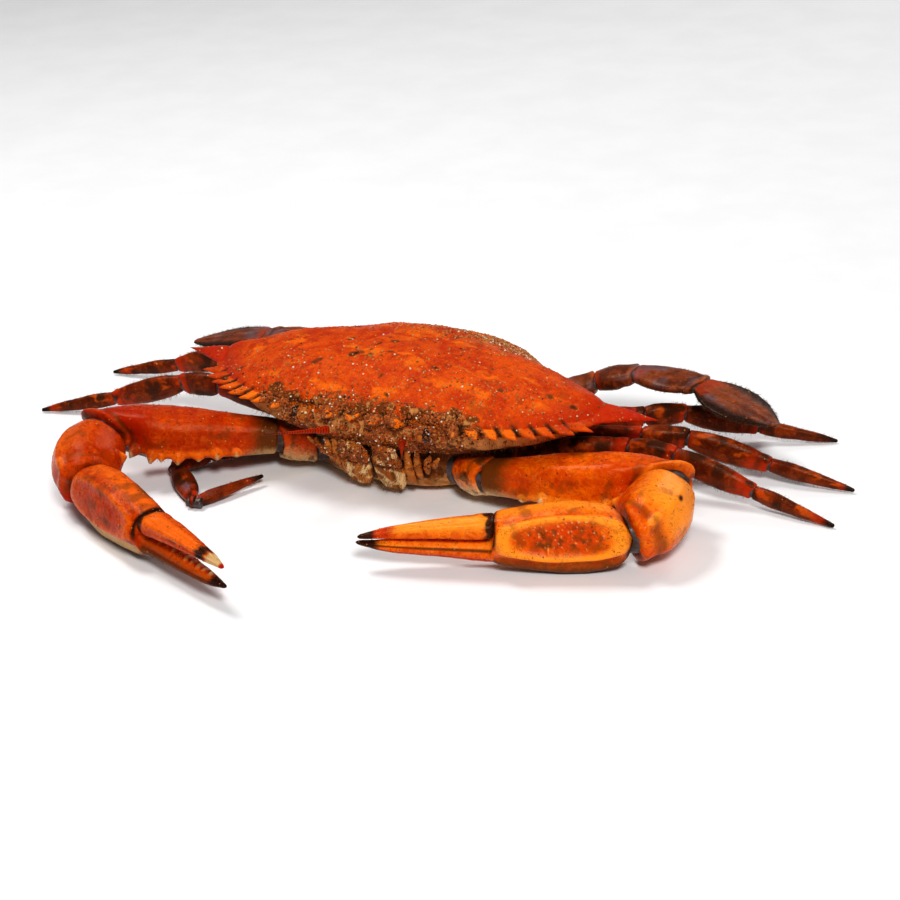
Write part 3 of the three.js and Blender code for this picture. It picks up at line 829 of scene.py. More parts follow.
# ---- Carapace: the sizes of its CAD solid ----
HALF_SPAN = 82.5  # from the middle to the tip of a lateral spine
EDGE_Z, EDGE_PITCH = 26.0, 3.5
CROWN, LIP, BASE_INSET = 14.0, 1.3, 0.965
THORAX_TOP, JOINT_GAP = 16.0, 0.3
RIM_X, RIM_Y, RIM_POWER = 34.0, 29.0, 2.6
TEETH = 8  # places for teeth on each side, the last of them taken by the lateral spine
TOOTH_PEAK, TOOTH_SLANT, TOOTH_HOOK = 0.62, 12, 14  # share up to the point, and degrees
EYE_CENTRE, EYE_RADII = np.array([21.5, -35.2, 26.6]), np.array([3.6, 2.7, 2.7])


def edge_z(y):
    return EDGE_Z - y * math.tan(math.radians(EDGE_PITCH))


def arc_of(a, b, c, t):
    """Points and directions on a quadratic curve."""
    a, b, c = (np.array(p) for p in (a, b, c))
    t = t[:, None]
    return (1 - t) ** 2 * a + 2 * t * (1 - t) * b + t * t * c, unit((1 - t) * (b - a) + t * (c - b))


def half_outline():
    """The left half from the middle of the front to the middle of the back: the smooth line that the
    teeth stand on, and the real edge."""
    step = 0.5 * FINE
    lines, edges = [], []

    def run(line, edge):
        lines.append(line[:-1])
        edges.append(edge[:-1])

    x = np.linspace(0, 31, round(40 / step))
    brow = np.stack([x, -33.8 + 0.0006 * x * x], -1)
    knots = np.array([0, 3.6, 7.2, 11.8, 14.6, 19, 24.5, 28.5, 31])
    reaches = np.array([-0.3, 3.4, 0.0, 3.8, -0.2, -1.8, -1.5, 0.8, 4.6])
    reach = monotone(knots, reaches, x)
    # Small blunt grains along the brow, between the teeth.
    reach = reach + 0.22 * np.sin(x * 4.1) * smooth(0, 1, np.abs(reach - 1.5))
    run(brow, brow - np.stack([0 * x, reach], -1))

    t = np.linspace(0, 1, round(52 / step))
    line, way = arc_of((32.5, -33.6), (55, -29), (67, -9.5), t)
    which = np.minimum((t * TEETH).astype(int), TEETH - 1)
    inside = t * TEETH - which
    rise = np.where(inside < TOOTH_PEAK, inside / TOOTH_PEAK, (1 - inside) / (1 - TOOTH_PEAK))
    outward = np.stack([way[:, 1], -way[:, 0]], -1)
    lean = math.radians(TOOTH_SLANT) + math.radians(TOOTH_HOOK) * rise
    outward = np.stack([
        outward[:, 0] * np.cos(lean) - outward[:, 1] * np.sin(lean),
        outward[:, 0] * np.sin(lean) + outward[:, 1] * np.cos(lean),
    ], -1)
    reach = 3.2 + 2.0 * which / TEETH
    tooth = np.where(which < TEETH - 1, reach * 1.2 * rise**1.35, 0)
    # The last stretch climbs onto the lateral spine.
    run(line, line + outward * tooth[:, None])

    rows = np.array([
        (67.0, -9.5, 67.0, -9.5), (67.5, -9.3, 66.5, -8.8), (75, -5.4, 67.3, -6.0),
        (HALF_SPAN, -1.5, 67.5, -3.4), (75, 0, 67, -0.8), (66, 3.4, 65, 2.6), (61, 5.2, 61, 5.2),
    ])
    gaps = np.linalg.norm(np.diff(rows[:, :2], axis=0), axis=1)
    knots = np.concatenate([[0], np.cumsum(gaps)])
    at = np.linspace(0, knots[-1], round(knots[-1] / step))
    at[np.argmin(np.abs(at - knots[3]))] = knots[3]
    both = np.stack([np.interp(at, knots, rows[:, k]) for k in range(4)], -1)
    run(both[:, 2:], both[:, :2])
    flank, _ = arc_of((61, 5.2), (48, 10), (28, 31), np.linspace(0, 1, round(42 / step)))
    run(flank, flank)
    corner, _ = arc_of((28, 31), (25.5, 33.2), (22, 33.2), np.linspace(0, 1, round(7 / step)))
    run(corner, corner)
    rump, _ = arc_of((22, 33.2), (10, 34.2), (0, 34), np.linspace(0, 1, round(22 / step)))
    lines.append(rump)
    edges.append(rump)
    return np.concatenate(lines), np.concatenate(edges)


def whole(half):
    return np.concatenate([half, half[-2:0:-1] * [-1, 1]])


def relief(x, y):
    """The swellings and furrows of the back, and its two grained lines, in millimetres."""
    ax = np.abs(x)
    swell = 1.1 * bell(np.hypot(x / 17, (y + 13) / 10), 1) + 0.7 * bell(np.hypot(x / 9, (y - 12) / 8), 1)
    swell = swell + 0.9 * bell(np.hypot((ax - 36) / 19, (y - 3) / 13), 1)
    swell = swell + 0.5 * bell(np.hypot((ax - 30) / 9, (y + 22) / 6), 1)
    arms = 11 + 0.02 * (y - 4) ** 2
    furrow = 1.0 * bell(ax - arms, 2.0) * smooth(-10, -4, y) * smooth(22, 14, y)
    furrow = furrow + 0.7 * bell(y - 1.5 - 0.01 * x * x, 1.8) * smooth(13, 9, ax)
    hepatic = -8 - 0.42 * (ax - 14)
    furrow = furrow + 0.75 * bell(y - hepatic, 1.9) * smooth(12, 17, ax) * smooth(44, 34, ax)
    furrow = furrow + 0.35 * bell(x, 1.0) * smooth(-12, -22, y)
    epibranchial = -3.5 - 7.5 * np.sin(np.clip((68 - ax) / 48, 0, 1) * np.pi * 0.62)
    epibranchial = epibranchial + 0.7 * np.sin(x / 4.1) * np.sin(x / 2.3 + 1)
    line = 0.34 * bell(y - epibranchial, 1.1) * smooth(20, 24, ax) * smooth(70, 60, ax)
    line = line + 0.35 * bell(y + 17.5 + 0.01 * x * x, 0.8) * smooth(19, 15, ax)
    return swell, furrow, line


def build_carapace():
    line, edge = (whole(h) for h in half_outline())
    foot = line * BASE_INSET
    rows, kinds = [], []

    # From the rim round the trunk, out under the shell to the foot of the teeth.
    turn = np.arctan2(line[:, 1], line[:, 0])
    total = np.abs(np.cos(turn) / RIM_X) ** RIM_POWER + np.abs(np.sin(turn) / RIM_Y) ** RIM_POWER
    reach = total ** (-1 / RIM_POWER)
    rim_line = np.stack([reach * np.cos(turn), reach * np.sin(turn)], -1)
    for s in np.linspace(0, 1, round(26 / FINE)):
        share = s**0.85
        flat = rim_line * (1 - share) + foot * share
        bulge = math.sin(math.pi * share)
        z = (THORAX_TOP + JOINT_GAP) * (1 - share) + (edge_z(line[:, 1]) - LIP) * share
        rows.append(np.column_stack([flat * (1 + 0.06 * bulge), z - 1.2 * bulge]))
        kinds.append(-2 + s)
    # Round each tooth: out along its underside, back along its top.
    middle = edge_z(line[:, 1])
    for q in np.linspace(0.12, 1, 8):
        lip = LIP * (1 - q) ** 0.6
        rows.append(np.column_stack([foot * (1 - q) + edge * q, middle - lip]))
        kinds.append(-1 + q)
    for q in np.linspace(1, 0.12, 8)[1:]:
        lip = LIP * (1 - q) ** 0.6
        rows.append(np.column_stack([foot * (1 - q) + edge * q, middle + lip]))
        kinds.append(1 - q)
    # Over the back.
    shares = 1 - np.linspace(0, 1, round(80 / FINE)) ** 1.12 * 0.985
    for s in shares:
        flat = foot * s
        z = edge_z(flat[:, 1]) + LIP + CROWN * (1 - s**2.6) ** 0.8
        rows.append(np.column_stack([flat, z]))
        kinds.append(2 - s)
    points = np.array(rows)
    kind = np.broadcast_to(np.array(kinds)[:, None], points.shape[:2])

    top = kind >= 1
    under = kind < -1
    x, y = points[..., 0], points[..., 1]
    share = np.clip(2 - kind, 0, 1) * top  # 1 at the foot of the teeth, 0 at the middle
    swell, furrow, ridge = relief(x, y)
    fade = smooth(1.0, 0.86, share) * top
    spread = smooth(1.0, 0.95, share) * top
    slow = rough(points, 14, 3, 3)
    z = 0.8 * (swell - 0.9) * fade - furrow * fade * 0.45
    crowd = patches(points, 11, 12, -0.3, 0.5, 2)
    near_edge = smooth(0.72, 0.96, share)
    grains = pimples(points, 1.5, 40, 0.45) * (0.3 + 0.7 * np.maximum(crowd, near_edge))
    small = pimples(points, 0.9, 50, 0.4)
    lined = ridge * (0.4 + 1.1 * pimples(points, 1.3, 60, 0.8))
    clods = 0.9 * smooth(-27, -33, y) * smooth(42, 30, np.abs(x)) * patches(points, 3.2, 45, 0.0, 0.6)
    z = z + (0.16 * slow + 0.3 * grains + 0.17 * small) * spread + lined * fade + clods
    # Each lateral spine runs back into the dome as a soft ridge.
    ax = np.abs(x)
    spine_y = -1.5 - 0.13 * (HALF_SPAN - ax)
    z = z + 2.3 * bell(y - spine_y, 3.4) * smooth(46, 65, ax) * smooth(81, 66, ax) * (kind > 0)
    points[..., 2] += z
    # The underside: folds that follow the edge, hollows and a rougher, wrinkled skin.
    away = np.where(under, kind + 2, 0)  # 0 at the rim, 1 at the foot of the teeth
    fold = 0.7 * np.sin(away * 13 + 1.5 * noise(points, 14, 70)) * np.sin(np.pi * np.clip(away, 0, 1))
    wrinkles = 0.35 * rough(points * [1, 1, 0.5], 3.2, 71, 3) * np.sin(np.pi * np.clip(away, 0, 1)) ** 0.5
    points[..., 2] += np.where(under, -0.35 - 0.55 * fold - wrinkles, 0)
    # Teeth get a keel and a rough edge.
    toothed = (kind > -1) & (kind < 1)
    points[..., 2] += np.where(toothed, 0.12 * rough(points, 1.6, 80, 2), 0)

    # The eyes lie in hollows of the shell.
    for _, side in BOTH:
        centre = EYE_CENTRE * [side, 1, 1]
        arm = (points - centre) / (EYE_RADII + 0.45)
        depth = np.linalg.norm(arm, axis=-1, keepdims=True)
        points = np.where(depth < 1, centre + (points - centre) / np.maximum(depth, 0.2), points)

    paint = np.zeros(points.shape[:2] + (6,))

    def tint(channel, amount, where=True):
        shade(paint, channel, amount * where)

    streaks = rough(points * [0.35, 1, 1], 3.5, 90, 3)
    tint(BRIGHT, 0.45 * smooth(0.1, 0.8, streaks) * fade)
    tint(STAIN, 0.35 * patches(points, 3.5, 190, 0.2, 0.9, 4) * patches(points, 20, 191, -0.2, 0.6, 2), top)
    tint(PALE, 0.35 * smooth(0.55, 0.95, grains) * patches(points, 12, 192, 0.1, 0.6, 2), top)
    tint(BRIGHT, 0.7 * smooth(0.25, 0.6, ridge), top)
    tint(RED, 0.4 * smooth(0.3, 0.9, furrow) * fade)
    tint(RED, 0.7 * smooth(54, 74, ax + 4 * noise(points, 7, 193)), kind > -1)
    tint(RED, 0.5 * smooth(30, 60, ax) * smooth(0.8, 1.0, np.where(top, share, 1)), kind > -1)
    # A cooked crust along the front, wide over the mouth.
    front = smooth(-27, -33.5, y) * smooth(44, 28, ax)
    crust = smooth(-0.15, 0.35, rough(points, 5, 91, 3) + 1.5 * front - 0.85)
    tint(STAIN, 0.95 * crust * (kind > 0.5))
    tint(DARK, 0.7 * patches(points, 2.2, 93, 0.1, 0.5, 2) * crust * (kind > 0.5))
    tint(PALE, 0.6 * patches(points, 1.6, 94, 0.25, 0.55, 2) * crust)
    patch = bell(np.hypot((x - 22) / 22, (y - 20) / 12), 1)
    tint(STAIN, 0.55 * patch * patches(points, 4, 95, -0.3, 0.4), top)
    tint(PALE, 0.6 * patch * patches(points, 3, 99, 0.0, 0.5), top)
    # Painted shade: dark dots in the notches between the teeth. Pale tips on the front ones.
    gap = np.clip(1 - np.linalg.norm(edge - line, axis=1) / 2.2, 0, 1)
    notch = np.broadcast_to(gap[None], points.shape[:2]) * smooth(62, 58, ax) * (y < -10)
    tint(DARK, 0.8 * notch * (kind > -0.5) * smooth(1.035, 0.99, kind))
    tint(BRIGHT, 0.8 * smooth(0.2, 0.7, kind + 1) * (y < -12) * toothed)
    # The underside is cream and pink near the edge and brown further in.
    tint(PALE, 0.9 * smooth(0.4, 0.75, away) * smooth(16, -6, y), under)
    tint(STAIN, 0.7 * smooth(-4, 22, y + 6 * noise(points, 8, 194)), under)
    tint(RED, 0.7 * smooth(0.75, 1.0, away) * smooth(-6, 10, y), under)
    tint(STAIN, 0.85 * smooth(0.65, 0.3, away + 0.25 * noise(points, 5, 96)), under)
    tint(STAIN, 0.9 * smooth(0.15, 0.5, rough(points, 6, 97, 3) + 0.3), under)
    # Painted shade: dark deepest under the shell, against the trunk.
    tint(DARK, 0.8 * smooth(0.22, 0.02, away), under)
    tint(STAIN, 0.9 * patches(points * [1, 0.4, 0.4], 2.4, 195, 0.0, 0.5) * smooth(1.0, 0.8, away), under)
    tint(DARK, 0.6 * smooth(0.1, 0.6, fold) * smooth(0, 0.3, noise(points, 3, 98)), under)

    ends = np.stack([[0, 0, THORAX_TOP + 2.5], points[-1].mean(0)])
    return add_tube("carapace_shell", points, ends, CARAPACE, ["carapace"], paint)


carapace = build_carapace()


# ---- Trunk and tail ----
TRUNK_WIDTH, TRUNK_FRONT, TRUNK_BACK, TRUNK_POWER = 30.0, 26.5, 26.0, 2.8
TAIL_DEPTH = 2.2
TAIL = np.array([  # y and z of the tail's middle line, its width and slope
    (25.2, 15.6, 25, 90), (25.2, 9.5, 28, 90), (24.2, 4.6, 29, 65), (20.2, 1.9, 27, 25),
    (15.5, 1.1, 22, 0), (9.5, 1.1, 11.5, 0), (0, 1.1, 9.6, 0), (-9, 1.1, 7.6, 0), (-13.5, 1.1, 3.4, 0),
])


def build_thorax():
    count = round(340 / FINE)
    turn = 2 * np.pi * np.arange(count) / count
    c, s = np.cos(turn), np.sin(turn)
    length = np.where(s < 0, TRUNK_FRONT, TRUNK_BACK)
    size = lambda v, half: half * np.sign(v) * np.abs(v) ** (2 / TRUNK_POWER)
    outline = np.stack([size(c, TRUNK_WIDTH), size(s, length)], -1)
    z_rows = np.array([0, 1.4, 4, 8, 16.0])
    share_rows = np.array([0.7, 0.86, 0.97, 1, 0.98])
    flat_rows = np.linspace(0.02, 0.7, round(60 / FINE))[:-1]
    wall = np.linspace(0, 16, round(44 / FINE))
    lid = np.linspace(0.98, 0.02, round(8 / FINE))[1:]
    share = np.concatenate([flat_rows, monotone(z_rows, share_rows, wall), lid])
    z = np.concatenate([0 * flat_rows, wall, 0 * lid + THORAX_TOP])
    points = np.concatenate([
        outline[None] * share[:, None, None],
        np.broadcast_to(z[:, None, None], (len(z), count, 1)),
    ], -1)
    lower = np.broadcast_to((np.arange(len(z)) < len(flat_rows) + len(wall))[:, None], points.shape[:2])

    # Plates of the chest: a suture between each pair of limbs, running in to the tail's groove.
    x, y = points[..., 0], points[..., 1]
    ax = np.abs(x)
    suture = np.zeros(x.shape)
    for at, slant in ((-21, 0.30), (-13.5, 0.22), (-4.5, 0.10), (4.5, -0.08), (13, -0.28)):
        suture = np.maximum(suture, bell(y - at - slant * (ax - 14) + 0.5 * noise(points, 4, 6), 0.95))
    suture = suture * smooth(3, 6, ax) * lower
    flat_part = smooth(5, 1, points[..., 2])
    plates = 0.55 * suture * flat_part + 0.5 * suture * (1 - flat_part)
    unevenness = 0.1 * rough(points, 5, 5, 3)
    inward = unit(np.stack([-x * (1 - flat_part), -y * (1 - flat_part), 0.4 + 4 * flat_part], -1))
    points = points + inward * ((plates + np.clip(unevenness, 0, 1)) * lower)[..., None]

    # The groove that the tail lies in.
    mid, slope, wide = TAIL[:, :2], np.radians(TAIL[:, 3]), TAIL[:, 2]
    knots = np.concatenate([[0], np.cumsum(np.linalg.norm(np.diff(mid, axis=0), axis=1))])
    at = np.linspace(0, knots[-1], 200)
    line = np.stack([np.interp(at, knots, mid[:, k]) for k in range(2)], -1)
    slopes, widths = np.interp(at, knots, slope), np.interp(at, knots, wide)
    yz = points[..., 1:].reshape(-1, 2)
    nearest = np.argmin(np.sum((yz[:, None] - line[None]) ** 2, -1), axis=1)
    outward = np.stack([np.sin(slopes), -np.cos(slopes)], -1)[nearest]
    depth = np.sum((yz - line[nearest]) * outward, -1)
    half = widths[nearest] / 2 + 0.35
    floor_at = -TAIL_DEPTH / 2 - 0.35
    past_end = points.reshape(-1, 3)[:, 1] < TAIL[-1, 0] - 0.6
    inside = smooth(half + 0.5, half, np.abs(points.reshape(-1, 3)[:, 0])) * ~past_end * lower.ravel()
    push = np.where(depth > floor_at, depth - floor_at, 0) * inside
    push = push * (yz[:, 1] < 15.5)
    yz = yz - outward * push[:, None]
    points[..., 1:] = yz.reshape(points.shape[:2] + (2,))

    paint = np.zeros(points.shape[:2] + (6,))
    blotch = rough(points, 6, 8, 3)
    shade(paint, DARK, 0.4 * smooth(0.5, 1.0, suture))
    shade(paint, STAIN, 0.8 * smooth(0.0, 0.6, blotch) * (1 - flat_part))
    shade(paint, STAIN, 0.5 * smooth(0.2, 0.7, blotch))
    shade(paint, STAIN, 0.85 * smooth(5, 12, points[..., 2] + 2 * noise(points, 4, 28)))
    front = smooth(-8, -22, y) * (1 - flat_part)
    shade(paint, STAIN, front * (0.5 + 0.4 * rough(points, 3, 38, 3)))
    shade(paint, DARK, 0.6 * front * patches(points, 2.5, 48, 0.1, 0.6))
    shade(paint, GREY, 0.4 * patches(points, 7, 58, 0.2, 0.8))
    rear = smooth(8, 20, y) * (1 - flat_part)
    shade(paint, STAIN, rear * (0.75 + 0.4 * rough(points, 4, 68, 3)))
    shade(paint, RED, 0.6 * rear * patches(points, 6, 78, -0.2, 0.5))
    shade(paint, STAIN, 0.75 * smooth(0.2, 0.9, suture))
    shade(paint, BRIGHT, 0.5 * patches(points, 8, 18, 0.1, 0.7))
    ends = np.array([[0, 0, points[0, :, 2].mean()], [0, 0, THORAX_TOP]])
    add_tube("thorax_shell", points, ends, BELLY, ["thorax"], paint)


class Tail(Skin):
    """The folded tail, whose rings have straight sides."""

    def __init__(self):
        rings = rings_of("abdomen", 6)
        if rings[0, :, 2].mean() < rings[-1, :, 2].mean():
            rings = rings[::-1]
        sides = np.linalg.norm(np.roll(rings, -1, axis=1) - rings, axis=-1).mean(0)
        shares = [max(3, round(side / (0.4 * FINE))) for side in sides]
        middles = rings.mean(1)
        knots = np.concatenate([[0], np.cumsum(np.linalg.norm(np.diff(middles, axis=0), axis=1))])
        self.node, length = "abdomen", knots[-1]
        s = np.linspace(0, length, round(length / (0.35 * FINE)))
        full = monotone(knots, along_the_sides(rings, shares), s)
        self.middle = full.mean(1, keepdims=True)
        shrink = np.minimum(1, 0.86 + 0.14 * smooth(0, 1.2, np.minimum(s, length - s)))
        self.points = self.middle + (full - self.middle) * shrink[:, None, None]
        self.s = np.broadcast_to(s[:, None], full.shape[:2])
        self.shrink = np.broadcast_to(shrink[:, None], full.shape[:2])
        self.paint = np.zeros(full.shape[:2] + (6,))


def build_tail():
    tail = Tail()
    x = tail.points[..., 0]
    bowed = tail.s - 0.012 * x * x + 0.35 * noise(tail.points, 3, 2)
    sutures = sum(bell(bowed - at, 0.4) for at in (3.5, 8.5, 13.5, 19.0, 27.5, 37.5))
    outer = smooth(0.2, 0.6, -np.sum(tail.normals() * [0, -0.6, 0.8], -1))
    tail.swell(-0.4 * sutures * outer - 0.2 * bell(np.abs(x) - 4.2, 0.8) * outer * smooth(24, 10, tail.s))
    tail.swell(0.1 * rough(tail.points, 3, 4, 3) - 0.1)
    tail.shade(STAIN, 0.7 * smooth(0.3, 1.0, sutures + 0.3 * noise(tail.points, 2, 8)))
    tail.shade(RED, 0.45 * smooth(14, 2, tail.s + 3 * noise(tail.points, 5, 7)))
    tail.shade(BRIGHT, 0.5 * patches(tail.points, 7, 6, 0.0, 0.7))
    tail.shade(STAIN, 0.6 * patches(tail.points, 4, 9, 0.1, 0.7))
    tail.shade(STAIN, 0.8 * smooth(9, 2, tail.s + 3 * noise(tail.points, 3, 12)))
    tail.shade(RED, 0.8 * smooth(16, 6, tail.s + 3 * noise(tail.points, 5, 11)))
    tail.build(BELLY, "belly")


build_thorax()
build_tail()


# ---- Face ----
def build_eye(name, side):
    rows, count = round(44 / FINE), round(72 / FINE)
    up = np.linspace(-1, 1, rows + 2)[1:-1] * np.pi / 2
    turn = 2 * np.pi * np.arange(count) / count
    ball = np.stack([
        np.sin(up)[:, None] + 0 * turn,
        np.cos(up)[:, None] * np.cos(turn),
        np.cos(up)[:, None] * np.sin(turn),
    ], -1)
    out = ball[..., 0]
    facets = 0.02 * np.sin(ball[..., 1] * 60) * np.sin(ball[..., 2] * 60)
    neck = 1 - 0.22 * bell(out + 0.15, 0.18)  # the cornea is set off from its stalk
    points = EYE_CENTRE * [side, 1, 1] + ball * [side, 1, 1] * EYE_RADII * (neck + facets)[..., None] * 0.98
    ends = EYE_CENTRE * [side, 1, 1] + np.array([[-side, 0, 0], [side, 0, 0]]) * EYE_RADII * 0.98
    flat, faces = closed(points, ends)
    piece = add_piece(f"{name}_ball", flat, faces, EYE, [name])
    piece.data.materials.append(MOUTH)
    stalk = np.array([out.ravel()[min(face)] if min(face) < out.size else 1.0 for face in faces]) < -0.15
    piece.data.polygons.foreach_set("material_index", stalk.astype(np.int32))


def rod(foot, top, wide, seed):
    """A jointed, knobbly rod between two points, as rings that close to its ends."""
    count, rows = round(30 / FINE), round(48 / FINE)
    way = unit(top - foot)
    a = unit(np.cross(way, [0, -1, 0]))
    b = np.cross(way, a)
    t = np.linspace(0, 1, rows)[:, None]
    turn = 2 * np.pi * np.arange(count) / count
    bow = 1.1 * np.sin(np.pi * t)
    joints = sum(bell(t - at, 0.02) for at in (0.3, 0.62))
    size = wide * np.sin(np.pi * (0.04 + 0.92 * t)) ** 0.35 * (1 - 0.3 * t) * (1 - 0.22 * joints)
    centre = foot + (top - foot) * t + np.array([0, -1, 0]) * bow
    points = centre[:, None] + size[..., None] * (
        a * np.cos(turn)[:, None] + b * (0.75 * np.sin(turn))[:, None])
    points = points + 0.14 * rough(points, 1.8, seed, 3)[..., None]
    return closed(points, points[[0, -1]].mean(1))


PLATE_X = 5.7  # how far the middle of each mouth plate lies from the middle of the crab
# Each rod beside the plates: where it stands, how far it leans out, and its thickness.
PALPS = ((11.7, 0.9, 1.75), (14.0, 1.9, 1.5), (16.2, 3.4, 1.3), (18.0, 4.6, 1.0))

palps = []
for hand, side in BOTH:
    build_eye(f"eye_{hand}", side)

    plate = Skin(f"mouthpart_{hand}", 8, side, np.array([side * PLATE_X, -27.5, 2.6]), 0.3, (0.5, 0.4),
                 front=(0, -1, 0))
    inner = 180 if plate.way.dot(np.cross(plate.outer, [side, 0, 0])) > 0 else 0
    across = np.abs(plate.points[..., 0]) - PLATE_X
    plate.swell(-0.35 * bell(across - 1.8, 0.55) - 0.5 * bell(plate.s - 0.58 * plate.length, 0.5))
    plate.swell(0.22 * rough(plate.points, 2.6, 3, 3) + 0.15 * pimples(plate.points, 1.1, 9, 0.5))
    plate.shade(STAIN, 0.9 * bell(across - 1.8, 0.8))
    plate.shade(DARK, 0.8 * bell(plate.s - 0.58 * plate.length, 0.7))
    plate.shade(PALE, 0.7 * patches(plate.points, 3, 14, 0.0, 0.5, 2))
    plate.build(MOUTH, "mouth")

    for k, (x, lean, wide) in enumerate(PALPS):
        foot = np.array([side * x, -26.2 + 0.5 * k, 4.6 + 1.9 * k])
        top = np.array([side * (x + lean), -31.4 + 0.5 * k, 18.0 - 0.7 * k + 0.6 * (k % 2)])
        palps.append(rod(foot, top, wide, 5 + k + (side > 0) * 3))

    feeler = Skin(f"antenna_{hand}", 6, side, np.array([side * 12.6, -34.0, 22.2]), 0.2, (0.4, 0.3))
    joints = 0.5 + 0.5 * np.cos(2 * np.pi * feeler.s / 0.9)
    thick = np.interp(feeler.u, [0, 0.15, 0.17, 1], [0.5, 0.35, 0.0, 0.0])
    feeler.swell(-0.07 * (1 - joints) * smooth(0.1, 0.2, feeler.u) + thick * 0.4)
    feeler.shade(DARK, 0.6 * (1 - joints))
    feeler.shade(RED, 0.9 * smooth(0.95, 0.4, feeler.u))
    feeler.build(LEG, "leg")


joined("mouth_palps", palps, MOUTH)


# ---- Soft skin inside the joints ----
def cuff(before, after, inset=2.2, share=0.84):
    """A sleeve from inside one piece to inside the next, of rings in step."""
    count, rows = 40, 9
    a, b = (round_the_ring(ring[None], count)[0] for ring in (before, after))
    ca, cb = a.mean(0), b.mean(0)
    a, b = ca + (a - ca) * share, cb + (b - cb) * share
    b = in_step(np.stack([a - ca, b - cb]))[1] + cb
    na = unit(np.cross(a[count // 4] - ca, a[0] - ca))
    na = na * np.sign(na.dot(cb - ca) or 1)
    nb = unit(np.cross(b[count // 4] - cb, b[0] - cb))
    nb = nb * np.sign(nb.dot(na) or 1)
    rings = []
    for t in np.linspace(0, 1, rows):
        ring = (a - na * inset) * (1 - t) + (b + nb * inset) * t
        centre = ring.mean(0)
        rings.append(centre + (ring - centre) * (1 + 0.02 * math.cos(t * 14)))
    rings = np.array(rings)
    return closed(rings, rings[[0, -1]].mean(1))


CLAW_CUFFS = (0.84, 0.76, 0.68)  # widths of the claws' sleeves, as shares of the shell's
cuffs = []
for name, chain in limbs.items():
    for k in range(4):
        before, after = chain[k], chain[k + 1]
        if name.startswith("claw") and k == 3:
            continue
        share = CLAW_CUFFS[k] if name.startswith("claw") else 0.84
        cuffs.append(cuff(before.far_ring, after.near_ring, share=share))
    root = chain[0].near_ring
    inward = np.array([0.0, chain[0].near_ring.mean(0)[1] * 0.9, SEAT_Z])
    shift = unit(inward - root.mean(0)) * 3
    cuffs.append(cuff(root + shift, root, inset=0.8, share=0.9))
joined("joint_membranes", cuffs, MEMBRANE)


# ---- Hairs and seasoning, scattered over the finished skins ----
def scatter(pieces, count, density):
    """Places on the pieces and the directions out of them, more of them where density is high."""
    spots, outs, weights = [], [], []
    for piece in pieces:
        mesh = piece.data
        centres = np.empty(3 * len(mesh.polygons))
        normals, areas = np.empty_like(centres), np.empty(len(mesh.polygons))
        mesh.polygons.foreach_get("center", centres)
        mesh.polygons.foreach_get("normal", normals)
        mesh.polygons.foreach_get("area", areas)
        centres, normals = centres.reshape(-1, 3) / MM, normals.reshape(-1, 3)
        spots.append(centres)
        outs.append(normals)
        weights.append(areas * density(centres, normals))
    spots, outs, weights = (np.concatenate(v) for v in (spots, outs, weights))
    picked = random.choice(len(spots), count, p=weights / weights.sum())
    out = outs[picked]
    slide = random.normal(0, 0.18, (count, 3))
    slide -= out * np.sum(slide * out, -1, keepdims=True)
    return spots[picked] + slide, out


def frames(out):
    """Two directions at right angles to each of the given ones, turned at random."""
    spare = unit(random.normal(0, 1, out.shape))
    a = unit(np.cross(out, spare))
    return a, np.cross(out, a)


def add_crumbs(name, pieces, count, density, sizes, material, flat, sink=0.25):
    """Irregular grains with 20 faces each, of sizes between two limits, many small and few large."""
    ratio = (1 + 5**0.5) / 2
    corner = unit(np.array([
        (-1, ratio, 0), (1, ratio, 0), (-1, -ratio, 0), (1, -ratio, 0), (0, -1, ratio), (0, 1, ratio),
        (0, -1, -ratio), (0, 1, -ratio), (ratio, 0, -1), (ratio, 0, 1), (-ratio, 0, -1), (-ratio, 0, 1),
    ]))
    faces = np.array([
        (0, 11, 5), (0, 5, 1), (0, 1, 7), (0, 7, 10), (0, 10, 11), (1, 5, 9), (5, 11, 4), (11, 10, 2),
        (10, 7, 6), (7, 1, 8), (3, 9, 4), (3, 4, 2), (3, 2, 6), (3, 6, 8), (3, 8, 9), (4, 9, 5),
        (2, 4, 11), (6, 2, 10), (8, 6, 7), (9, 8, 1),
    ])
    spots, out = scatter(pieces, count, density)
    a, b = frames(out)
    size = sizes[0] + (sizes[1] - sizes[0]) * random.random(count) ** 3
    lumps = 1 + 0.28 * (random.random((count, 12)) * 2 - 1)
    stretch = 1 + 0.5 * random.random((count, 1))
    x, y, z = ((corner[:, k] * lumps) * size[:, None] / 2 for k in range(3))
    centres = spots + out * (size * (flat * 0.5 - sink))[:, None]
    points = centres[:, None] + a[:, None] * (x * stretch)[..., None]
    points = points + b[:, None] * y[..., None] + out[:, None] * (flat * z)[..., None]
    points[..., 2] = np.maximum(points[..., 2], 0.0)
    all_faces = (faces[None] + 12 * np.arange(count)[:, None, None]).reshape(-1, 3)
    add_piece(name, points.reshape(-1, 3), all_faces.tolist(), material)


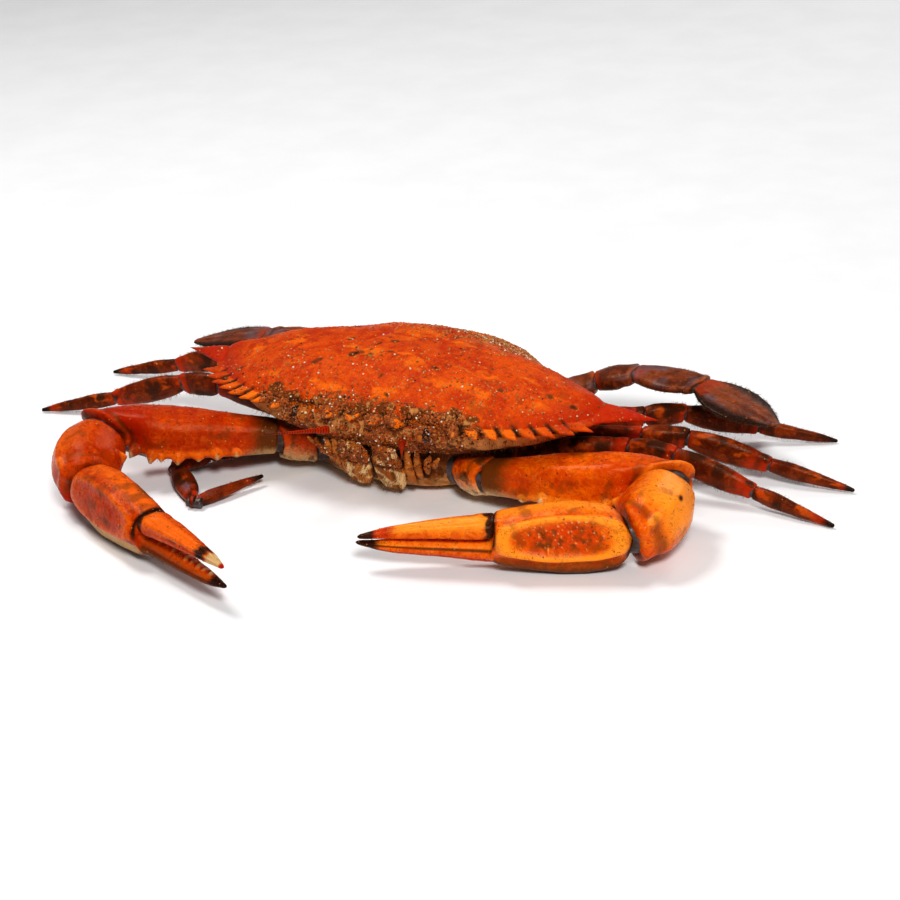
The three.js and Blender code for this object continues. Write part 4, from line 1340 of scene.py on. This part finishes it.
def add_hairs(name, roots, ways, lengths, width):
    """Tapering hairs of three joints, which droop and bend."""
    count = len(roots)
    a, b = frames(ways)
    droop = random.normal(0, 0.22, (count, 3)) + [0, 0, -0.15]
    rings = []
    for t, thick in ((0, 1.0), (0.4, 0.8), (0.75, 0.5)):
        centre = roots + ways * (lengths * t)[:, None] + droop * (lengths * t * t)[:, None]
        for k in range(3):
            turn = 2 * math.pi * k / 3
            rings.append(centre + (a * math.cos(turn) + b * math.sin(turn)) * (width * thick / 2))
    rings.append(roots + ways * lengths[:, None] + droop * lengths[:, None])
    points = np.stack(rings, 1)
    points[..., 2] = np.maximum(points[..., 2], 0.02)
    faces = [(2, 1, 0)]
    for k in (0, 3):
        faces += [(k + j, k + (j + 1) % 3, k + 3 + (j + 1) % 3, k + 3 + j) for j in range(3)]
    faces += [(6, 7, 9), (7, 8, 9), (8, 6, 9)]
    steps = 10 * np.arange(count)
    every = [tuple(v + step for v in face) for step in steps for face in faces]
    add_piece(name, points.reshape(-1, 3), every, HAIR)


def fringe(skin, angle, count, low=0.08, high=0.95, spread=7):
    """Roots on the skin along one edge, and the way out from it."""
    near = np.abs(skin.off(angle)) < spread
    rows, columns = np.nonzero(near & (skin.u > low) & (skin.u < high))
    if not len(rows):
        return np.zeros((0, 3)), np.zeros((0, 3))
    pick = random.integers(0, len(rows), count)
    roots = skin.points[rows[pick], columns[pick]]
    ways = skin.normals()[rows[pick], columns[pick]] + 0.35 * skin.way
    return roots, unit(ways + random.normal(0, 0.18, ways.shape))


def all_hairs():
    roots, ways = [], []
    for name, chain in limbs.items():
        for k, skin in enumerate(chain):
            if name.startswith("swimmer"):
                edges, each = ((0, 180), (0, 20, 40, 160, 320)[k])
            elif name.startswith("leg"):
                edges, each = ((90, -90), (0, 24, 30, 90, 50)[k])
            else:
                edges, each = ((-140,), (60, 60, 0, 0, 0)[k])
            for angle in edges:
                if each:
                    r, w = fringe(skin, angle, each)
                    roots.append(r)
                    ways.append(w)
    return np.concatenate(roots), np.concatenate(ways)


roots, ways = all_hairs()
add_hairs("limb_setae", roots, ways, random.uniform(0.4, 1.1, len(roots)), 0.09)

shells = [o for o in bpy.data.objects if o.name.endswith("_shell")]
claws = [o for o in shells if o.name.startswith("claw")]
mouths = [o for o in shells if o.name.startswith("mouthpart")]


def on_mouth(p, n):
    return bell(p[:, 0], 11) * (p[:, 1] < -24)


def under_edge(p, n):
    return (n[:, 2] < -0.2) * (p[:, 2] < 25) * smooth(-4, -16, p[:, 1])


roots, ways = scatter(mouths, 900, on_mouth)
more, out = scatter([carapace], 1600, under_edge)
roots = np.concatenate([roots, more])
ways = unit(np.concatenate([ways, out]) + [0, -0.2, -0.35] + random.normal(0, 0.25, roots.shape))
add_hairs("face_setae", roots, ways, random.uniform(0.7, 2.0, len(roots)), 0.12)


def on_crust(p, n):
    """Thick over the mouth and the front margin."""
    front = smooth(-28, -33.5, p[:, 1]) * smooth(42, 28, np.abs(p[:, 0])) * (p[:, 2] > 11)
    return front * (0.15 + 0.85 * patches(p, 4, 201, -0.2, 0.4)) + 0.003


def on_back(p, n):
    """A patch at the back of the crab's left shoulder, thin elsewhere."""
    up = smooth(0.1, 0.6, n[:, 2])
    patch = bell(np.hypot((p[:, 0] - 22) / 22, (p[:, 1] - 18) / 14), 1)
    low = smooth(-4, -22, p[:, 1])
    thin = 0.10 * patches(p, 9, 203, -0.1, 0.6) + 0.08 * low
    return up * (patch * patches(p, 6, 202, -0.4, 0.3) + thin)


def on_claws(p, n):
    return smooth(-0.5, 0.3, n[:, 2]) * patches(p, 5, 204, 0.1, 0.6) + 0.05


def anywhere(p, n):
    return smooth(0.0, 0.5, n[:, 2]) * patches(p, 6, 205, 0.0, 0.5) + 0.01


MANY = 1  # share of the seasoning that is made
GRAIN, CRYSTAL = 0.6, 0.85  # thickness of a crumb or a salt grain, as a share of its width
eyes = [o for o in bpy.data.objects if o.name.startswith("eye_") and o.name.endswith("_ball")]
mouths.append(bpy.data.objects["mouth_palps"])
face = [carapace] + mouths + eyes + [bpy.data.objects["thorax_shell"]]
SEASONING = (
    ("crust_crumbs_tan", face, 4200, on_crust, (0.15, 0.8), TAN, GRAIN),
    ("crust_crumbs_brown", face, 6400, on_crust, (0.2, 1.2), BROWN, GRAIN),
    ("crust_crumbs_orange", face, 3600, on_crust, (0.2, 1.1), RUST, GRAIN),
    ("crust_crumbs_dark", face, 1500, on_crust, (0.15, 0.8), BLACK, GRAIN),
    ("crust_salt", face, 360, on_crust, (0.2, 0.9), SALT, CRYSTAL),
    ("back_spice_tan", [carapace], 3400, on_back, (0.15, 0.8), TAN, GRAIN),
    ("back_spice_brown", [carapace], 2200, on_back, (0.15, 0.75), BROWN, GRAIN),
    ("back_spice_dark", [carapace], 800, on_back, (0.12, 0.5), BLACK, GRAIN),
    ("back_salt", [carapace], 320, on_back, (0.2, 0.8), SALT, CRYSTAL),
    ("claw_spice_tan", claws, 700, on_claws, (0.12, 0.5), TAN, GRAIN),
    ("claw_spice_dark", claws, 900, on_claws, (0.12, 0.45), BLACK, GRAIN),
    ("limb_spice_tan", shells, 1200, anywhere, (0.12, 0.6), TAN, GRAIN),
    ("limb_spice_brown", shells, 1200, anywhere, (0.12, 0.6), BROWN, GRAIN),
)
for name, pieces, count, density, sizes, material, thick in SEASONING:
    add_crumbs(name, pieces, int(count * MANY), density, sizes, material, thick)


# ---- Floor, light and camera ----
TURN, TILT, ROLL, AWAY = 28.4, 24.0, -3.2, 650.0  # where the camera stands, degrees and millimetres
FOCUS = (0.0, -1.0, 27.0)  # the point that it stands round
LOOK_AT = (13.52, -4.88, 6.3)  # in the middle of the picture, so that the whole crab is in it
LENS = 83.0  # focal length in millimetres
FLOOR = 4.0  # half the floor's side, in metres


def camera():
    turn, tilt, roll = (math.radians(v) for v in (TURN, TILT, ROLL))
    back = Vector((math.sin(turn) * math.cos(tilt), -math.cos(turn) * math.cos(tilt), math.sin(tilt)))
    eye = Vector(FOCUS) + AWAY * back
    aim = (Vector(LOOK_AT) - eye).normalized()
    level = aim.cross(Vector((0, 0, 1))).normalized()
    up = Matrix.Rotation(-roll, 3, aim) @ level.cross(aim)
    data = bpy.data.cameras.new("camera")
    data.lens, data.sensor_width, data.clip_start = LENS, 36.0, 0.01
    made = bpy.data.objects.new("camera", data)
    bpy.context.scene.collection.objects.link(made)
    turned = Matrix((aim.cross(up), up, -aim)).transposed().to_4x4()
    made.matrix_world = Matrix.Translation(eye * MM) @ turned
    bpy.context.scene.camera = made


def area_light(name, place, size, power, target=(0, 0, 0.015)):
    data = bpy.data.lights.new(name, "AREA")
    data.shape, data.size, data.energy = "DISK", size, power
    made = bpy.data.objects.new(name, data)
    bpy.context.scene.collection.objects.link(made)
    made.location = place
    made.rotation_euler = (Vector(target) - Vector(place)).to_track_quat("-Z", "Y").to_euler()


def stage():
    n = Nodes("pale_floor")
    grain = n.noise(30.0, 3)
    n.link(n.mix(n.between(grain, 0.3, 0.7), (0.93, 0.93, 0.93, 1), (0.9, 0.9, 0.9, 1)),
           n.shader.inputs["Base Color"])
    n.shader.inputs["Roughness"].default_value = 0.8
    mesh = bpy.data.meshes.new("floor")
    corners = [(-FLOOR, -FLOOR, 0), (FLOOR, -FLOOR, 0), (FLOOR, FLOOR, 0), (-FLOOR, FLOOR, 0)]
    mesh.from_pydata(corners, [], [(0, 1, 2, 3)])
    mesh.materials.append(n.material)
    floor = bpy.data.objects.new("floor", mesh)
    bpy.context.scene.collection.objects.link(floor)
    world = bpy.data.worlds.new("studio")
    world.use_nodes = True
    world.node_tree.nodes["Background"].inputs["Color"].default_value = (1.0, 1.0, 1.0, 1)
    world.node_tree.nodes["Background"].inputs["Strength"].default_value = 0.16
    bpy.context.scene.world = world
    area_light("key", (0.45, -0.62, 0.72), 0.24, 6.2)
    area_light("top", (-0.4, 0.05, 0.85), 0.3, 4.0)
    area_light("back", (0.2, 0.85, 0.6), 0.35, 1.6)
    bpy.context.scene.view_settings.view_transform = "Standard"
    bpy.context.scene.view_settings.look = "Medium High Contrast"


camera()
stage()
